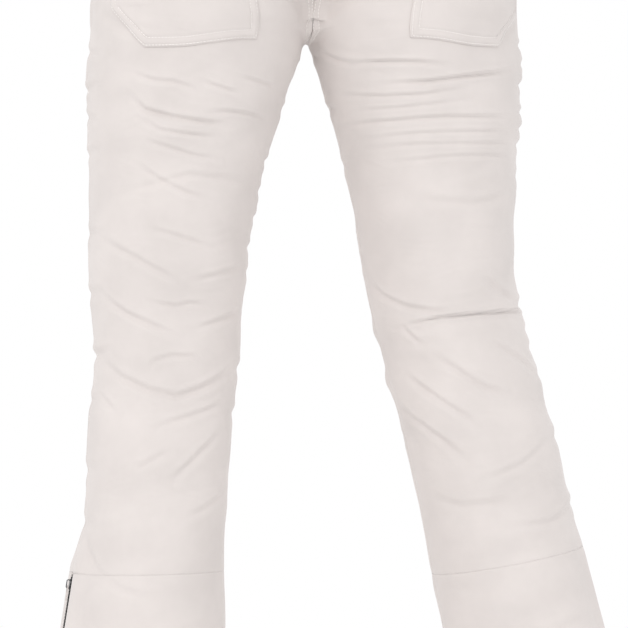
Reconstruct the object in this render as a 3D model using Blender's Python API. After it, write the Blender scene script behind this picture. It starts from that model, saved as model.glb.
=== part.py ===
"""Ski pants held open as they are worn, with no wearer inside.

The front faces -Y, the wearer's left is +X and +Z is up. The shape is worked out in heights above
the left hem, and an empty then lowers every object so that the origin is the middle of the waist.
The soft shell is a field: an ellipse for each leg and one for the trunk at every height, joined
smoothly. A panel is a grid of points found on that field, given the thickness of its cloth.
"""

import collections
import math

import bmesh
import bpy
import numpy as np
from mathutils import Matrix, Vector

# Driving dimensions, in metres. Heights are above the left hem, along each leg's own middle line.
WAIST_TOP = 1.040
BAND_HEIGHT = 0.040
YOKE_SEAM = 0.962
SMOOTH_JOIN = 0.030
CALF_SEAM = {"left": 0.250, "right": 0.258}
HEM = {"left": 0.000, "right": 0.017}
SIDES = {"left": 1, "right": -1}
SIDE_SEAM_TURN = math.radians(-1)

# Middle of the leg across and front to back, with half its width and half its depth, by height.
LEG_SECTIONS = {
    "left": [
        (-0.030, 0.1800, 0.1005, 0.018, 0.080),
        (0.000, 0.1780, 0.0985, 0.018, 0.080),
        (0.212, 0.1625, 0.0800, 0.014, 0.076),
        (0.261, 0.1580, 0.0745, 0.013, 0.075),
        (0.300, 0.1520, 0.0700, 0.012, 0.074),
        (0.392, 0.1465, 0.0715, 0.008, 0.074),
        (0.462, 0.1380, 0.0720, 0.000, 0.073),
        (0.532, 0.1375, 0.0775, -0.002, 0.078),
        (0.632, 0.1305, 0.0850, 0.002, 0.086),
        (0.732, 0.1178, 0.1010, 0.008, 0.098),
        (0.776, 0.1100, 0.1065, 0.010, 0.106),
        (0.832, 0.1075, 0.1045, 0.013, 0.117),
        (0.880, 0.0975, 0.1060, 0.014, 0.124),
        (0.930, 0.0865, 0.1040, 0.008, 0.119),
        (0.980, 0.0780, 0.0970, 0.003, 0.112),
        (1.040, 0.0700, 0.0850, 0.000, 0.104),
        (1.080, 0.0680, 0.0820, 0.000, 0.102),
    ],
    "right": [
        (-0.030, -0.2735, 0.0925, 0.014, 0.080),
        (0.010, -0.2625, 0.0905, 0.014, 0.080),
        (0.212, -0.2160, 0.0790, 0.012, 0.076),
        (0.270, -0.2035, 0.0775, 0.011, 0.075),
        (0.372, -0.1815, 0.0765, 0.008, 0.074),
        (0.452, -0.1610, 0.0765, 0.000, 0.073),
        (0.532, -0.1415, 0.0760, -0.002, 0.077),
        (0.632, -0.1315, 0.0840, 0.002, 0.086),
        (0.732, -0.1195, 0.1000, 0.008, 0.098),
        (0.776, -0.1110, 0.1060, 0.010, 0.106),
        (0.832, -0.1060, 0.1045, 0.013, 0.117),
        (0.880, -0.0975, 0.1060, 0.014, 0.124),
        (0.930, -0.0865, 0.1040, 0.008, 0.119),
        (0.980, -0.0780, 0.0970, 0.003, 0.112),
        (1.040, -0.0700, 0.0850, 0.000, 0.104),
        (1.080, -0.0680, 0.0820, 0.000, 0.102),
    ],
}

# The trunk's half width, its front and its back, by height. It closes under the crotch.
TRUNK_SECTIONS = [
    (0.700, -0.060, -0.004, 0.004),
    (0.783, -0.012, -0.004, 0.004),
    (0.803, 0.022, -0.014, 0.022),
    (0.817, 0.050, -0.032, 0.048),
    (0.832, 0.078, -0.049, 0.070),
    (0.860, 0.115, -0.076, 0.104),
    (0.900, 0.145, -0.097, 0.126),
    (0.950, 0.157, -0.107, 0.124),
    (1.000, 0.155, -0.108, 0.112),
    (1.040, 0.150, -0.104, 0.105),
    (1.080, 0.148, -0.100, 0.100),
]

# How far a level line round the leg tips up on its outer side, and the waist up at the back, in degrees.
LEG_TIP = {
    "left": [(0.0, -1.0), (0.6, -0.5), (0.8, 0.0), (1.1, 0.0)],
    "right": [(0.0, 11.0), (0.27, 10.5), (0.45, 8.0), (0.62, 4.0), (0.8, 0.0), (1.1, 0.0)],
}
WAIST_TIP = [(0.0, 0.0), (0.84, 0.0), (0.96, 6.0), (1.04, 8.5), (1.1, 8.5)]

# Cloth: how far each layer's outer and inner face lie outside the shell's outer face.
SHELL_LAYER = (0.0, -0.0016)
POCKET_LAYER = (0.0028, 0.0014)
GUARD_LAYER = (0.0022, 0.0011)
BAND_LAYER = (0.0008, -0.0024)
BAG_LAYER = (-0.0040, -0.0054)
HEM_LAYER = (-0.0030, -0.0042)
GUSSET_LAYER = (-0.0056, -0.0064)
SEAM_GAP = 0.00035
FLAT_HALF = 0.0165
GAITER_CLOTH = 0.0008
ELASTIC_CLOTH = 0.0014

# Zips, in each zip's own frame: across, down its length, and out of the leg.
SLIT_HALF = 0.0064
TOOTH_INNER = 0.0006
TOOTH_WIDTH = 0.0023
TOOTH_OUT = (-0.0033, -0.0011)
TAPE_HALF = 0.0135
TAPE_OUT = (-0.00250, -0.00195)
STOP_LENGTH = 0.0020
SLIDER_LENGTH = 0.0100
SLIDER_HALF = 0.0054
PIVOT_OUT = 0.0017
PIVOT_DOWN = 0.0022
PULL_LENGTH = 0.0240
ANKLE_SPREAD = 0.0014
ANKLE_REST = 0.0100
ANKLE_PULL = 0.0145
TOP_REST = 0.0065
FLY_DEPTHS = (0.0085, 0.0125)
FLY_SHIFT = 0.0080
FLY_PULL = 0.0150
HAND_ZIP = (0.976, 0.852)
FLY_ZIP = (0.990, 0.880)

# Places on a leg: depths of the snow gaiter inside it, and the turns over which narrow pieces run.
GAITER_INSET = (0.0075, 0.0195)
GAITER_SLOPE = 0.080
ELASTIC_INSET = 0.0010
GUSSET_TURN = math.radians(34)
GUARD_START = math.radians(134)
GUARD_TURN = math.radians(92)
GUARD_TOP = 0.115
BAG_START = 0.015
BAG_REACH = 0.118
BAG_BOTTOM = 0.800

# The back pocket's edges, as distances along a row from the side seam, by height.
POCKET_OUTER = [(0.7660, 0.1015), (0.8050, 0.0535), (0.8300, 0.0515), (0.9400, 0.0460)]
POCKET_INNER = {
    "left": [(0.7660, 0.2095), (0.7900, 0.2155), (0.8300, 0.2135), (0.9400, 0.1890)],
    "right": [(0.7660, 0.1905), (0.7900, 0.1955), (0.8300, 0.1935), (0.9400, 0.1690)],
}

# The waistband's loops, the tab that closes it, and the snap.
FRONT_LOOP = 0.17
REAR_LOOP = 0.83
LOOP_WIDTH = 0.0110
LOOP_RISE = 0.0076
LOOP_CLOTH = 0.0014
LOOP_CLEAR = 0.0007
TAB_START = 0.0260
TAB_END = 0.0340
TAB_RISE = 0.0040
TAB_CLOTH = 0.0018
SNAP_FROM_FLY = 0.0200
SNAP_CLEAR = 0.0007
HOLE_RADIUS = 0.0024

# Rows of points where the shell bends most: over the seat, and above and below the crotch.
SEAT_ROWS = (0.940, 0.925, 0.910, 0.898, 0.884)
CROTCH_STEPS = (0.085, 0.062, 0.044, 0.030, 0.018, 0.008, 0.0005, -0.006, -0.016)
ZIP_ROWS = (HAND_ZIP[0] + 0.007, HAND_ZIP[0] + 0.005, HAND_ZIP[1] - 0.005, HAND_ZIP[1] - 0.007)

COLOURS = {
    "shell": ((0.80, 0.75, 0.72), 0.75, 0.0),
    "lining": ((0.62, 0.60, 0.60), 0.80, 0.0),
    "tape": ((0.72, 0.68, 0.66), 0.80, 0.0),
    "teeth": ((0.02, 0.02, 0.02), 0.40, 0.0),
    "slider": ((0.05, 0.05, 0.05), 0.35, 0.6),
    "pull": ((0.78, 0.74, 0.71), 0.50, 0.0),
    "metal": ((0.72, 0.72, 0.71), 0.30, 1.0),
    "elastic": ((0.10, 0.10, 0.11), 0.85, 0.0),
}


class Smooth:
    """A smooth curve through (height, value, ...) rows, one column at a time."""

    def __init__(self, rows):
        table = np.array(rows, float)
        self.x, self.y = table[:, 0], table[:, 1:]
        slopes = np.diff(self.y, axis=0) / np.diff(self.x)[:, None]
        inner = (slopes[1:] + slopes[:-1]) / 2
        inner[slopes[1:] * slopes[:-1] <= 0] = 0
        limit = 3 * np.minimum(abs(slopes[1:]), abs(slopes[:-1]))
        inner = np.clip(inner, -limit, limit)
        self.m = np.vstack([slopes[:1], inner, slopes[-1:]])

    def __call__(self, at):
        at = np.clip(np.asarray(at, float), self.x[0], self.x[-1])
        i = np.clip(np.searchsorted(self.x, at) - 1, 0, len(self.x) - 2)
        step = self.x[i + 1] - self.x[i]
        t, step = ((at - self.x[i]) / step)[..., None], step[..., None]
        rest = t * t * (3 - 2 * t)
        bend = step * t * (1 - t) * ((1 - t) * self.m[i] - t * self.m[i + 1])
        return self.y[i] * (1 - rest) + self.y[i + 1] * rest + bend


LEG = {side: Smooth(rows) for side, rows in LEG_SECTIONS.items()}
TRUNK = Smooth(TRUNK_SECTIONS)
TIP = {side: Smooth(rows) for side, rows in LEG_TIP.items()}
LEAN = Smooth(WAIST_TIP)


def soft_min(a, b, reach):
    share = np.clip(1 - abs(a - b) / reach, 0, None)
    return np.minimum(a, b) - share**2 * reach / 4


def ellipse_distance(points, x, y, half_width, half_depth):
    """Nearly the distance outside an upright ellipse; negative inside."""
    small = np.minimum(half_width, half_depth)
    safe = np.maximum(small, 1e-4)
    across = (points[..., 0] - x) / np.maximum(half_width, 1e-4)
    along = (points[..., 1] - y) / np.maximum(half_depth, 1e-4)
    return (np.hypot(across, along) - 1) * safe + np.maximum(1e-4 - small, 0)


def field(points):
    """Below zero inside the pants, zero on the shell's outer face."""
    z = points[..., 2]
    found = [ellipse_distance(points, *np.moveaxis(LEG[s](z)[..., [0, 2, 1, 3]], -1, 0)) for s in SIDES]
    width, front, back = np.moveaxis(TRUNK(z), -1, 0)
    trunk = ellipse_distance(points, 0.0, (front + back) / 2, width, (back - front) / 2)
    legs = soft_min(found[0], found[1], SMOOTH_JOIN / 2)
    return soft_min(legs, trunk, SMOOTH_JOIN)


def normals_of(points):
    step = 5e-4
    shifts = np.eye(3) * step
    slope = np.stack([field(points + d) - field(points - d) for d in shifts], -1)
    return slope / np.linalg.norm(slope, axis=-1, keepdims=True)


def row_frame(side, height):
    """The middle of a row of points, its outward unit and its backward unit."""
    x, _, y, _ = LEG[side](height)
    tip, lean = math.radians(TIP[side](height)[0]), math.radians(LEAN(height)[0])
    outward = np.array([SIDES[side] * math.cos(tip), 0, math.sin(tip)])
    backward = np.array([0, math.cos(lean), math.sin(lean)])
    return np.array([x, y, height]), outward, backward


def first_crossing(start, directions, reach=0.30, steps=120):
    """Where rays from inside one leg first leave the field or meet the middle plane."""
    side = 1 if start[0] >= 0 else -1

    def outside(distance):
        points = start + distance * directions
        return (field(points) > 0) | (side * points[..., 0] < -1e-6)

    far = np.linspace(0, reach, steps)
    hit = np.argmax(outside(far[:, None, None]), axis=0)
    low, high = far[np.maximum(hit - 1, 0)], far[hit]
    for _ in range(24):
        middle = (low + high) / 2
        beyond = outside(middle[:, None])
        low, high = np.where(beyond, low, middle), np.where(beyond, middle, high)
    return start + low[:, None] * directions


def crotch_height():
    """The lowest height at which the two legs meet on the middle plane."""
    depth = np.linspace(-0.08, 0.08, 161)
    low, high = 0.70, 0.90
    for _ in range(24):
        height = (low + high) / 2
        points = np.stack([0 * depth, depth, 0 * depth + height], 1)
        low, high = (low, height) if field(points).min() < 0 else (height, high)
    return high


CROTCH_ROWS = tuple(crotch_height() + step for step in CROTCH_STEPS)


def seam_end(side, height, way):
    """The angle and the point at which a row meets the middle plane. Below the crotch the angle is
    half a turn, and there is no such point."""
    middle, outward, backward = row_frame(side, height)
    across = -middle[0] / outward[0]
    reach = np.linspace(-0.2, 0.2, 1601)
    inside = field(middle + across * outward + reach[:, None] * backward) < 0
    if not inside.any():
        return way * math.pi, None
    edge = reach[inside].max() if way > 0 else reach[inside].min()
    return math.atan2(edge, across), middle + across * outward + edge * backward


ROWS = {}


def row(side, panel, height):
    """The row of a panel from the side seam to the inner seam, with the length along it."""
    key = (side, panel, round(height, 6))
    if key not in ROWS:
        way = 1 if panel == "back" else -1
        end, seam = seam_end(side, height, way)
        turns = np.linspace(SIDE_SEAM_TURN, end, 90)
        middle, outward, backward = row_frame(side, height)
        rays = np.cos(turns)[:, None] * outward + np.sin(turns)[:, None] * backward
        points = settle(first_crossing(middle, rays))
        if seam is not None:
            points[-1] = seam
        along = np.concatenate([[0], np.cumsum(np.linalg.norm(np.diff(points, axis=0), axis=1))])
        ROWS[key] = points, along
    return ROWS[key]


SideZip = collections.namedtuple("SideZip", "side frame length spread top bottom flat_end")
SIDE_ZIPS = []


def local_to(frame, points):
    return (points - np.array(frame.translation)) @ np.array(frame.to_3x3())


def settle(points):
    """Draws the shell onto the flat strip of each zip that is sewn into the side seam."""
    for found in SIDE_ZIPS:
        local = local_to(found.frame, points)
        beyond = np.maximum(np.maximum(-local[:, 1], local[:, 1] - found.length), 0)
        away = np.hypot(abs(local[:, 0]), beyond)
        near = FLAT_HALF + ANKLE_SPREAD
        share = 1 - np.clip((away - near) / (found.flat_end - near), 0, 1)
        share = share * share * (3 - 2 * share) * (abs(local[:, 2]) < found.flat_end)
        points = points - (share * local[:, 2])[:, None] * np.array(found.frame.col[2][:3])
    return points


def zip_edge(side, panel, half, otherwise):
    """How far along a panel's rows the line lies that runs this far beside a zip, and the distance
    to use at heights where there is no zip."""

    def distance(height):
        for found in SIDE_ZIPS:
            if found.side != side or not found.bottom < height < found.top:
                continue
            points, along = row(side, panel, height)
            local = local_to(found.frame, points[:40])
            away = abs(local[-1, 0]) / local[-1, 0] * local[:, 0]
            down = np.clip(local[0, 1] / found.length, 0, 1)
            return np.interp(half + found.spread * down, away, along[:40])
        return otherwise

    return distance


def at(side, panel, height, distance):
    """The point this far along a row from its side seam, and the way out of the cloth there."""
    points, along = row(side, panel, height)
    place = np.array([[np.interp(distance, along, points[:, k]) for k in range(3)]])
    return place[0], normals_of(place)[0]


def grid(side, panel, heights, columns, start=SEAM_GAP, end=SEAM_GAP, first=None):
    """Rows of points over a panel. start and end are distances left free at its two edges, as numbers
    or as functions of the height, and first gives where its first column ends."""
    found = []
    for height in heights:
        points, along = row(side, panel, height)
        low = start(height) if callable(start) else start
        high = along[-1] - (end(height) if callable(end) else end)
        places = np.linspace(low, high, columns + 1)
        if first:
            places = np.concatenate([[low], np.linspace(first(height), high, columns)])
        found.append(np.stack([np.interp(places, along, points[:, k]) for k in range(3)], 1))
    return np.array(found)


def ring(side, heights, columns, start_turn=0.0, turn=2 * math.pi):
    """Rows of points right round one leg, or over part of a turn of it."""
    found = []
    whole = turn >= 2 * math.pi
    turns = np.linspace(start_turn, start_turn + turn, columns + 1)[: columns if whole else None]
    for height in heights:
        middle, outward, backward = row_frame(side, height)
        rays = np.cos(turns)[:, None] * outward + np.sin(turns)[:, None] * backward
        found.append(settle(first_crossing(middle, rays)))
    return np.array(found)


ROOT = None


def clear_scene():
    for thing in list(bpy.data.objects):
        bpy.data.objects.remove(thing)


def material(kind):
    made = bpy.data.materials.get(kind)
    if made is None:
        colour, roughness, metallic = COLOURS[kind]
        made = bpy.data.materials.new(kind)
        made.use_nodes = True
        shader = made.node_tree.nodes["Principled BSDF"]
        shader.inputs["Base Color"].default_value = (*colour, 1)
        shader.inputs["Roughness"].default_value = roughness
        shader.inputs["Metallic"].default_value = metallic
    return made


def place(name, data, kind, matrix=None, smooth=False, parent=None):
    """Links a mesh or curve as a named object, at a place in the pants. Its parent is the empty at the
    waist, or an empty under that one."""
    thing = bpy.data.objects.new(name, data)
    bpy.context.scene.collection.objects.link(thing)
    thing.parent = parent or ROOT
    thing.matrix_basis = matrix or Matrix.Identity(4)
    if parent:
        thing.matrix_basis = parent.matrix_basis.inverted() @ thing.matrix_basis
    if not data.materials:
        data.materials.append(material(kind))
    if smooth:
        data.shade_smooth()
    return thing


def mesh_of(name, vertices, faces):
    mesh = bpy.data.meshes.new(name)
    mesh.from_pydata([tuple(v) for v in vertices], [], faces)
    shape = bmesh.new()
    shape.from_mesh(mesh)
    bmesh.ops.recalc_face_normals(shape, faces=shape.faces)
    shape.to_mesh(mesh)
    shape.free()
    return mesh


def cloth(name, kind, points, layer, closed=False, side=None, parent=None):
    """A layer of cloth with real thickness over a grid of points on the shell. With a side, it stays
    on that side of the middle plane."""
    rows, columns = points.shape[:2]
    out = normals_of(points)
    offsets = [np.broadcast_to(np.asarray(face, float), (rows,))[:, None, None] for face in layer]
    vertices = np.concatenate([(points + o * out).reshape(-1, 3) for o in offsets])
    if side:
        vertices[:, 0] = SIDES[side] * np.maximum(SIDES[side] * vertices[:, 0], SEAM_GAP / 2)
    size = rows * columns
    span = columns if closed else columns - 1

    def corner(face, r, c):
        return face * size + r * columns + c % columns

    faces = []
    for face in (0, 1):
        for r in range(rows - 1):
            for c in range(span):
                faces.append([corner(face, r, c), corner(face, r, c + 1), corner(face, r + 1, c + 1),
                              corner(face, r + 1, c)])
    for r in (0, rows - 1):
        for c in range(span):
            faces.append([corner(0, r, c), corner(0, r, c + 1), corner(1, r, c + 1), corner(1, r, c)])
    if not closed:
        for c in (0, columns - 1):
            for r in range(rows - 1):
                faces.append([corner(0, r, c), corner(0, r + 1, c), corner(1, r + 1, c), corner(1, r, c)])
    return place(name, mesh_of(name, vertices, faces), kind, smooth=True, parent=parent)


def extruded(name, outline, low, high):
    """A mesh of a flat outline of (x, y) points, extruded from low to high along z."""
    count = len(outline)
    vertices = [(x, y, z) for z in (low, high) for x, y in outline]
    faces = [list(range(count)), list(range(count, 2 * count))]
    faces += [[i, (i + 1) % count, (i + 1) % count + count, i + count] for i in range(count)]
    return mesh_of(name, vertices, faces)


def turned(name, profile, segments=20):
    """A mesh turned round z from an (r, z) profile whose ends lie on the axis or meet each other."""
    on_axis = profile[0][0] == 0
    inner = profile[1:-1] if on_axis else profile
    vertices = []
    for step in range(segments):
        angle = 2 * math.pi * step / segments
        vertices += [(r * math.cos(angle), r * math.sin(angle), z) for r, z in inner]
    count = len(inner)
    faces = []
    for step in range(segments):
        a, b = step * count, (step + 1) % segments * count
        for i in range(count - 1 if on_axis else count):
            j = (i + 1) % count
            faces.append([a + i, b + i, b + j, a + j])
    if on_axis:
        faces.append([step * count for step in range(segments)])
        faces.append([step * count + count - 1 for step in range(segments)])
    return mesh_of(name, vertices, faces)


def frame_between(top, bottom, out):
    """A frame at top: y runs down to bottom, z out of the cloth and x across."""
    down = (Vector(bottom) - Vector(top)).normalized()
    normal = Vector(out)
    normal = (normal - normal.dot(down) * down).normalized()
    across = down.cross(normal)
    frame = Matrix((across, down, normal)).transposed().to_4x4()
    frame.translation = Vector(top)
    return frame


def heights_between(top, bottom, step, more=()):
    count = max(1, round((top - bottom) / step))
    levels = set(np.round(np.linspace(top, bottom, count + 1), 5))
    levels |= {h for h in more if bottom < h < top}
    return sorted(levels, reverse=True)


def zip_frames():
    """Where each zip lies: its frame and its length."""
    frames = {}
    for side in SIDES:
        ends = [at(side, "back", h, 0.0) for h in (CALF_SEAM[side] - 0.001, HEM[side] + 0.003)]
        frames[side + "_ankle"] = frame_between(ends[0][0], ends[1][0], ends[0][1] + ends[1][1])
        ends += [at(side, "back", h, 0.0) for h in HAND_ZIP]
        frames[side + "_hand"] = frame_between(ends[2][0], ends[3][0], ends[2][1] + ends[3][1])
        for name, pair in (("_ankle", ends[:2]), ("_hand", ends[2:])):
            frames[side + name + "_length"] = float(np.linalg.norm(pair[1][0] - pair[0][0]))
    fly = []
    for height, depth in zip(FLY_ZIP, FLY_DEPTHS):
        place_on_row = row("left", "front", height)[1][-1] - FLY_SHIFT
        fly.append(at("left", "front", height, place_on_row)[0] + np.array([0, depth, 0]))
    frames["fly"] = frame_between(fly[0], fly[1], (0, -1, 0))
    frames["fly_length"] = float(np.linalg.norm(fly[1] - fly[0]))
    return frames


def slider_mesh():
    """Two plates round the teeth joined by a thin web, with a crown for the pull."""
    half, lip = SLIDER_HALF, 0.00075
    web, reach = 0.0003, half - lip
    top, under = (0.0003, -0.0008), (-0.0036, -0.0046)
    tape_top, tape_under = TAPE_OUT[1] + 0.0004, TAPE_OUT[0] - 0.0004
    quarter = [(half, top[0]), (half, tape_top), (reach, tape_top), (reach, top[1]), (web, top[1]),
               (web, under[0]), (reach, under[0]), (reach, tape_under), (half, tape_under), (half, under[1])]
    outline = quarter + [(-x, z) for x, z in reversed(quarter)]
    body = extruded("slider_body", outline, -SLIDER_LENGTH / 2, SLIDER_LENGTH / 2)
    body.transform(Matrix.Rotation(math.radians(90), 4, "X"))
    crown_outline = [(-0.0044, -0.0003), (-0.0044, 0.0024), (-0.0034, 0.0036), (0.0034, 0.0036),
                     (0.0044, 0.0024), (0.0044, -0.0003), (0.0034, -0.0003), (0.0034, 0.0028),
                     (-0.0034, 0.0028), (-0.0034, -0.0003)]
    crown = extruded("slider_crown", crown_outline, -0.0009, 0.0009)
    crown.transform(Matrix(((0, 0, 1, 0), (1, 0, 0, 0), (0, 1, 0, 0), (0, 0, 0, 1))))
    base = bpy.data.objects.new("slider_base", body)
    tool = bpy.data.objects.new("slider_tool", crown)
    for helper in (base, tool):
        bpy.context.scene.collection.objects.link(helper)
    join = base.modifiers.new("Crown", "BOOLEAN")
    join.operation, join.solver, join.object = "UNION", "EXACT", tool
    graph = bpy.context.evaluated_depsgraph_get()
    joined = bpy.data.meshes.new_from_object(base.evaluated_get(graph))
    for helper in (base, tool):
        bpy.data.objects.remove(helper)
    return joined


def pull_curve(name, length):
    """A flat tab with a window at its head: the bar beyond the window lies under the slider's crown."""
    curve = bpy.data.curves.new(name, "CURVE")
    curve.dimensions, curve.fill_mode, curve.extrude = "2D", "BOTH", 0.0006
    outlines = [
        [(-0.0030, -0.0006), (0.0030, -0.0006), (0.0033, 0.0075), (0.0040, length - 0.003),
         (0.0028, length), (-0.0028, length), (-0.0040, length - 0.003), (-0.0033, 0.0075)],
        [(-0.0019, 0.0006), (-0.0019, 0.0062), (0.0019, 0.0062), (0.0019, 0.0006)],
    ]
    for outline in outlines:
        spline = curve.splines.new("POLY")
        spline.points.add(len(outline) - 1)
        for point, (x, y) in zip(spline.points, outline):
            point.co = (x, y, 0, 1)
        spline.use_cyclic_u = True
    return curve


def add_zip(name, frame, length, slider, slider_at, spread=0.0, stop_at_top=True, pull=PULL_LENGTH):
    """One zip: tape, teeth, slider and pull. The two rows of teeth stand apart by the web of the
    slider, and by twice the spread more at the end away from the stop."""
    far, stop = (length, 0.0) if stop_at_top else (0.0, length)
    toward = 1 if stop_at_top else -1
    inner, outer = TOOTH_INNER, TOOTH_INNER + TOOTH_WIDTH
    stop_end = stop + toward * STOP_LENGTH
    arm = [(outer, stop), (outer + spread, far), (inner + spread, far), (inner, stop_end)]
    teeth = arm + [(-x, y) for x, y in reversed(arm)]
    place(name + "_zip_teeth", extruded(name + "_teeth", teeth, *TOOTH_OUT), "teeth", frame)
    edge = outer + 0.0003
    start = stop - toward * 0.0045
    half = [(TAPE_HALF, start), (TAPE_HALF + spread, far), (edge + spread, far),
            (edge, stop - toward * 0.0003)]
    tape = half + [(-x, y) for x, y in reversed(half)]
    place(name + "_zip_tape", extruded(name + "_tape", tape, *TAPE_OUT), "tape", frame)
    place(name + "_zip_slider", slider, "slider", frame @ Matrix.Translation((0, slider_at, 0)))
    pivot = frame @ Matrix.Translation((0, slider_at + PIVOT_DOWN, PIVOT_OUT))
    place(name + "_zip_pull", pull_curve(name + "_pull", pull), "pull", pivot)


def add_zips(frames):
    slider = slider_mesh()
    for side in SIDES:
        add_zip(side + "_ankle", frames[side + "_ankle"], frames[side + "_ankle_length"], slider,
                ANKLE_REST, spread=ANKLE_SPREAD, pull=ANKLE_PULL)
        add_zip(side + "_hand", frames[side + "_hand"], frames[side + "_hand_length"], slider,
                TOP_REST, stop_at_top=False)
    add_zip("fly", frames["fly"], frames["fly_length"], slider, TOP_REST, stop_at_top=False, pull=FLY_PULL)


def add_panels(side):
    seam, hem, band = CALF_SEAM[side], HEM[side], WAIST_TOP - BAND_HEIGHT
    more = SEAT_ROWS + CROTCH_ROWS + ZIP_ROWS
    levels = {
        "front_panel": heights_between(band - SEAM_GAP, seam + SEAM_GAP, 0.06, more),
        "back_panel": heights_between(YOKE_SEAM - SEAM_GAP, seam + SEAM_GAP, 0.06, more),
        "yoke": heights_between(band - SEAM_GAP, YOKE_SEAM + SEAM_GAP, 0.02),
        "lower_front_panel": heights_between(seam - SEAM_GAP, hem, 0.065),
        "lower_back_panel": heights_between(seam - SEAM_GAP, hem, 0.065),
    }
    columns = {"yoke": 10, "lower_front_panel": 10, "lower_back_panel": 10}
    for name, heights in levels.items():
        panel = "front" if "front" in name else "back"
        slit = zip_edge(side, panel, SLIT_HALF, SEAM_GAP)
        flat = zip_edge(side, panel, FLAT_HALF, FLAT_HALF)
        points = grid(side, panel, heights, columns.get(name, 12), slit, first=flat)
        cloth(f"{side}_{name}", "shell", points, SHELL_LAYER, side=side if heights[0] > seam else None)


def add_inside(side):
    """The snow gaiter with its elastic, the hem facing, the zip gusset and the pocket bag."""
    seam, hem = CALF_SEAM[side], HEM[side]
    levels = heights_between(seam, hem + 0.045, 0.04)
    inset = -np.interp([seam - h for h in levels], (0, GAITER_SLOPE), GAITER_INSET)
    gaiter = ring(side, levels, 16)
    cloth(side + "_gaiter", "lining", gaiter, (inset, inset - GAITER_CLOTH), closed=True)
    elastic = ring(side, heights_between(hem + 0.062, hem + 0.040, 0.03), 16)
    outer = -GAITER_INSET[1] - GAITER_CLOTH - ELASTIC_INSET
    cloth(side + "_gaiter_elastic", "elastic", elastic, (outer, outer - ELASTIC_CLOTH), closed=True)
    levels = heights_between(hem + 0.030, hem + 0.0005, 0.03)
    front, back = (grid(side, p, levels, 9, zip_edge(side, p, FLAT_HALF, 0.0)) for p in ("front", "back"))
    facing = np.concatenate([front, back[:, -2::-1]], axis=1)
    cloth(side + "_hem_facing", "shell", facing, HEM_LAYER)
    levels = heights_between(seam - 0.002, hem + 0.034, 0.06)
    gusset = ring(side, levels, 4, SIDE_SEAM_TURN - GUSSET_TURN / 2, GUSSET_TURN)
    cloth(side + "_ankle_gusset", "shell", gusset, GUSSET_LAYER)

    def bag_end(height):
        return row(side, "front", height)[1][-1] - BAG_REACH

    bag = grid(side, "front", heights_between(HAND_ZIP[0], BAG_BOTTOM, 0.04), 4, BAG_START, bag_end)
    cloth(side + "_pocket_bag", "lining", bag, BAG_LAYER)


def add_outside(side):
    """The back patch pocket and the scuff guard inside the ankle."""
    outer, inner = np.array(POCKET_OUTER), np.array(POCKET_INNER[side])

    def start(height):
        return np.interp(height, outer[:, 0], outer[:, 1])

    def end(height):
        return row(side, "back", height)[1][-1] - np.interp(height, inner[:, 0], inner[:, 1])

    more = SEAT_ROWS + CROTCH_ROWS + tuple(outer[1:-1, 0]) + tuple(inner[1:-1, 0])
    levels = heights_between(POCKET_OUTER[-1][0], POCKET_OUTER[0][0], 0.2, more)
    cloth(side + "_back_pocket", "shell", grid(side, "back", levels, 10, start, end), POCKET_LAYER)
    levels = heights_between(HEM[side] + GUARD_TOP, HEM[side] + 0.002, 0.04)
    guard = ring(side, levels, 10, GUARD_START, GUARD_TURN)
    cloth(side + "_scuff_guard", "shell", guard, GUARD_LAYER)


def band_rows(heights, columns):
    """Rows right round the waist, from the left of the fly round the back to its right."""
    found = []
    for height in heights:
        half = {}
        for side in SIDES:
            front = grid(side, "front", [height], columns, 0.0, 0.0003)[0]
            back = grid(side, "back", [height], columns, 0.0, 0.0)[0]
            half[side] = np.concatenate([front[:0:-1], back])
        found.append(np.concatenate([half["left"], half["right"][-2::-1]]))
    return np.array(found)


def waist_frame(share, side):
    """A frame on the waistband, this share of the way round one side from the fly to the centre back,
    and its length: it runs from just under the band's top to just under its bottom."""
    ends = []
    for height in (WAIST_TOP - 0.003, WAIST_TOP - BAND_HEIGHT - 0.008):
        front, back = (row(side, panel, height)[1][-1] for panel in ("front", "back"))
        distance = share * (front + back)
        panel, along = ("front", front - distance) if distance < front else ("back", distance - front)
        ends.append(at(side, panel, height, along))
    frame = frame_between(ends[0][0], ends[1][0], ends[0][1] + ends[1][1])
    frame.translation += BAND_LAYER[0] * frame.col[2].to_3d()
    return frame, float(np.linalg.norm(ends[1][0] - ends[0][0]))


def add_belt_loop(name, share, side):
    frame, length = waist_frame(share, side)
    low, rise, thick = LOOP_CLEAR, LOOP_RISE, LOOP_CLOTH
    outline = [(0, low), (0, rise), (thick, rise + thick), (length - thick, rise + thick), (length, rise),
               (length, low), (length - thick, low), (length - thick, rise), (thick, rise), (thick, low)]
    mesh = extruded(name, outline, -LOOP_WIDTH / 2, LOOP_WIDTH / 2)
    mesh.transform(Matrix(((0, 0, 1, 0), (1, 0, 0, 0), (0, 1, 0, 0), (0, 0, 0, 1))))
    place(name, mesh, "shell", frame)


def tab_rows(levels):
    """Rows of points over the closure tab, from its sewn edge left of the fly to its free end."""
    rows = []
    for height in levels:
        left, right = (row(side, "front", height)[1][-1] for side in ("left", "right"))
        first = [at("left", "front", height, left - d)[0] for d in np.linspace(TAB_START, 0.0, 4)]
        last = [at("right", "front", height, right - d)[0] for d in np.linspace(0.0, TAB_END, 5)[1:]]
        rows.append(first + last)
    return np.array(rows)


def add_empty(name, matrix):
    made = bpy.data.objects.new(name, None)
    bpy.context.scene.collection.objects.link(made)
    made.parent = ROOT
    made.matrix_basis = matrix
    return made


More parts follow.
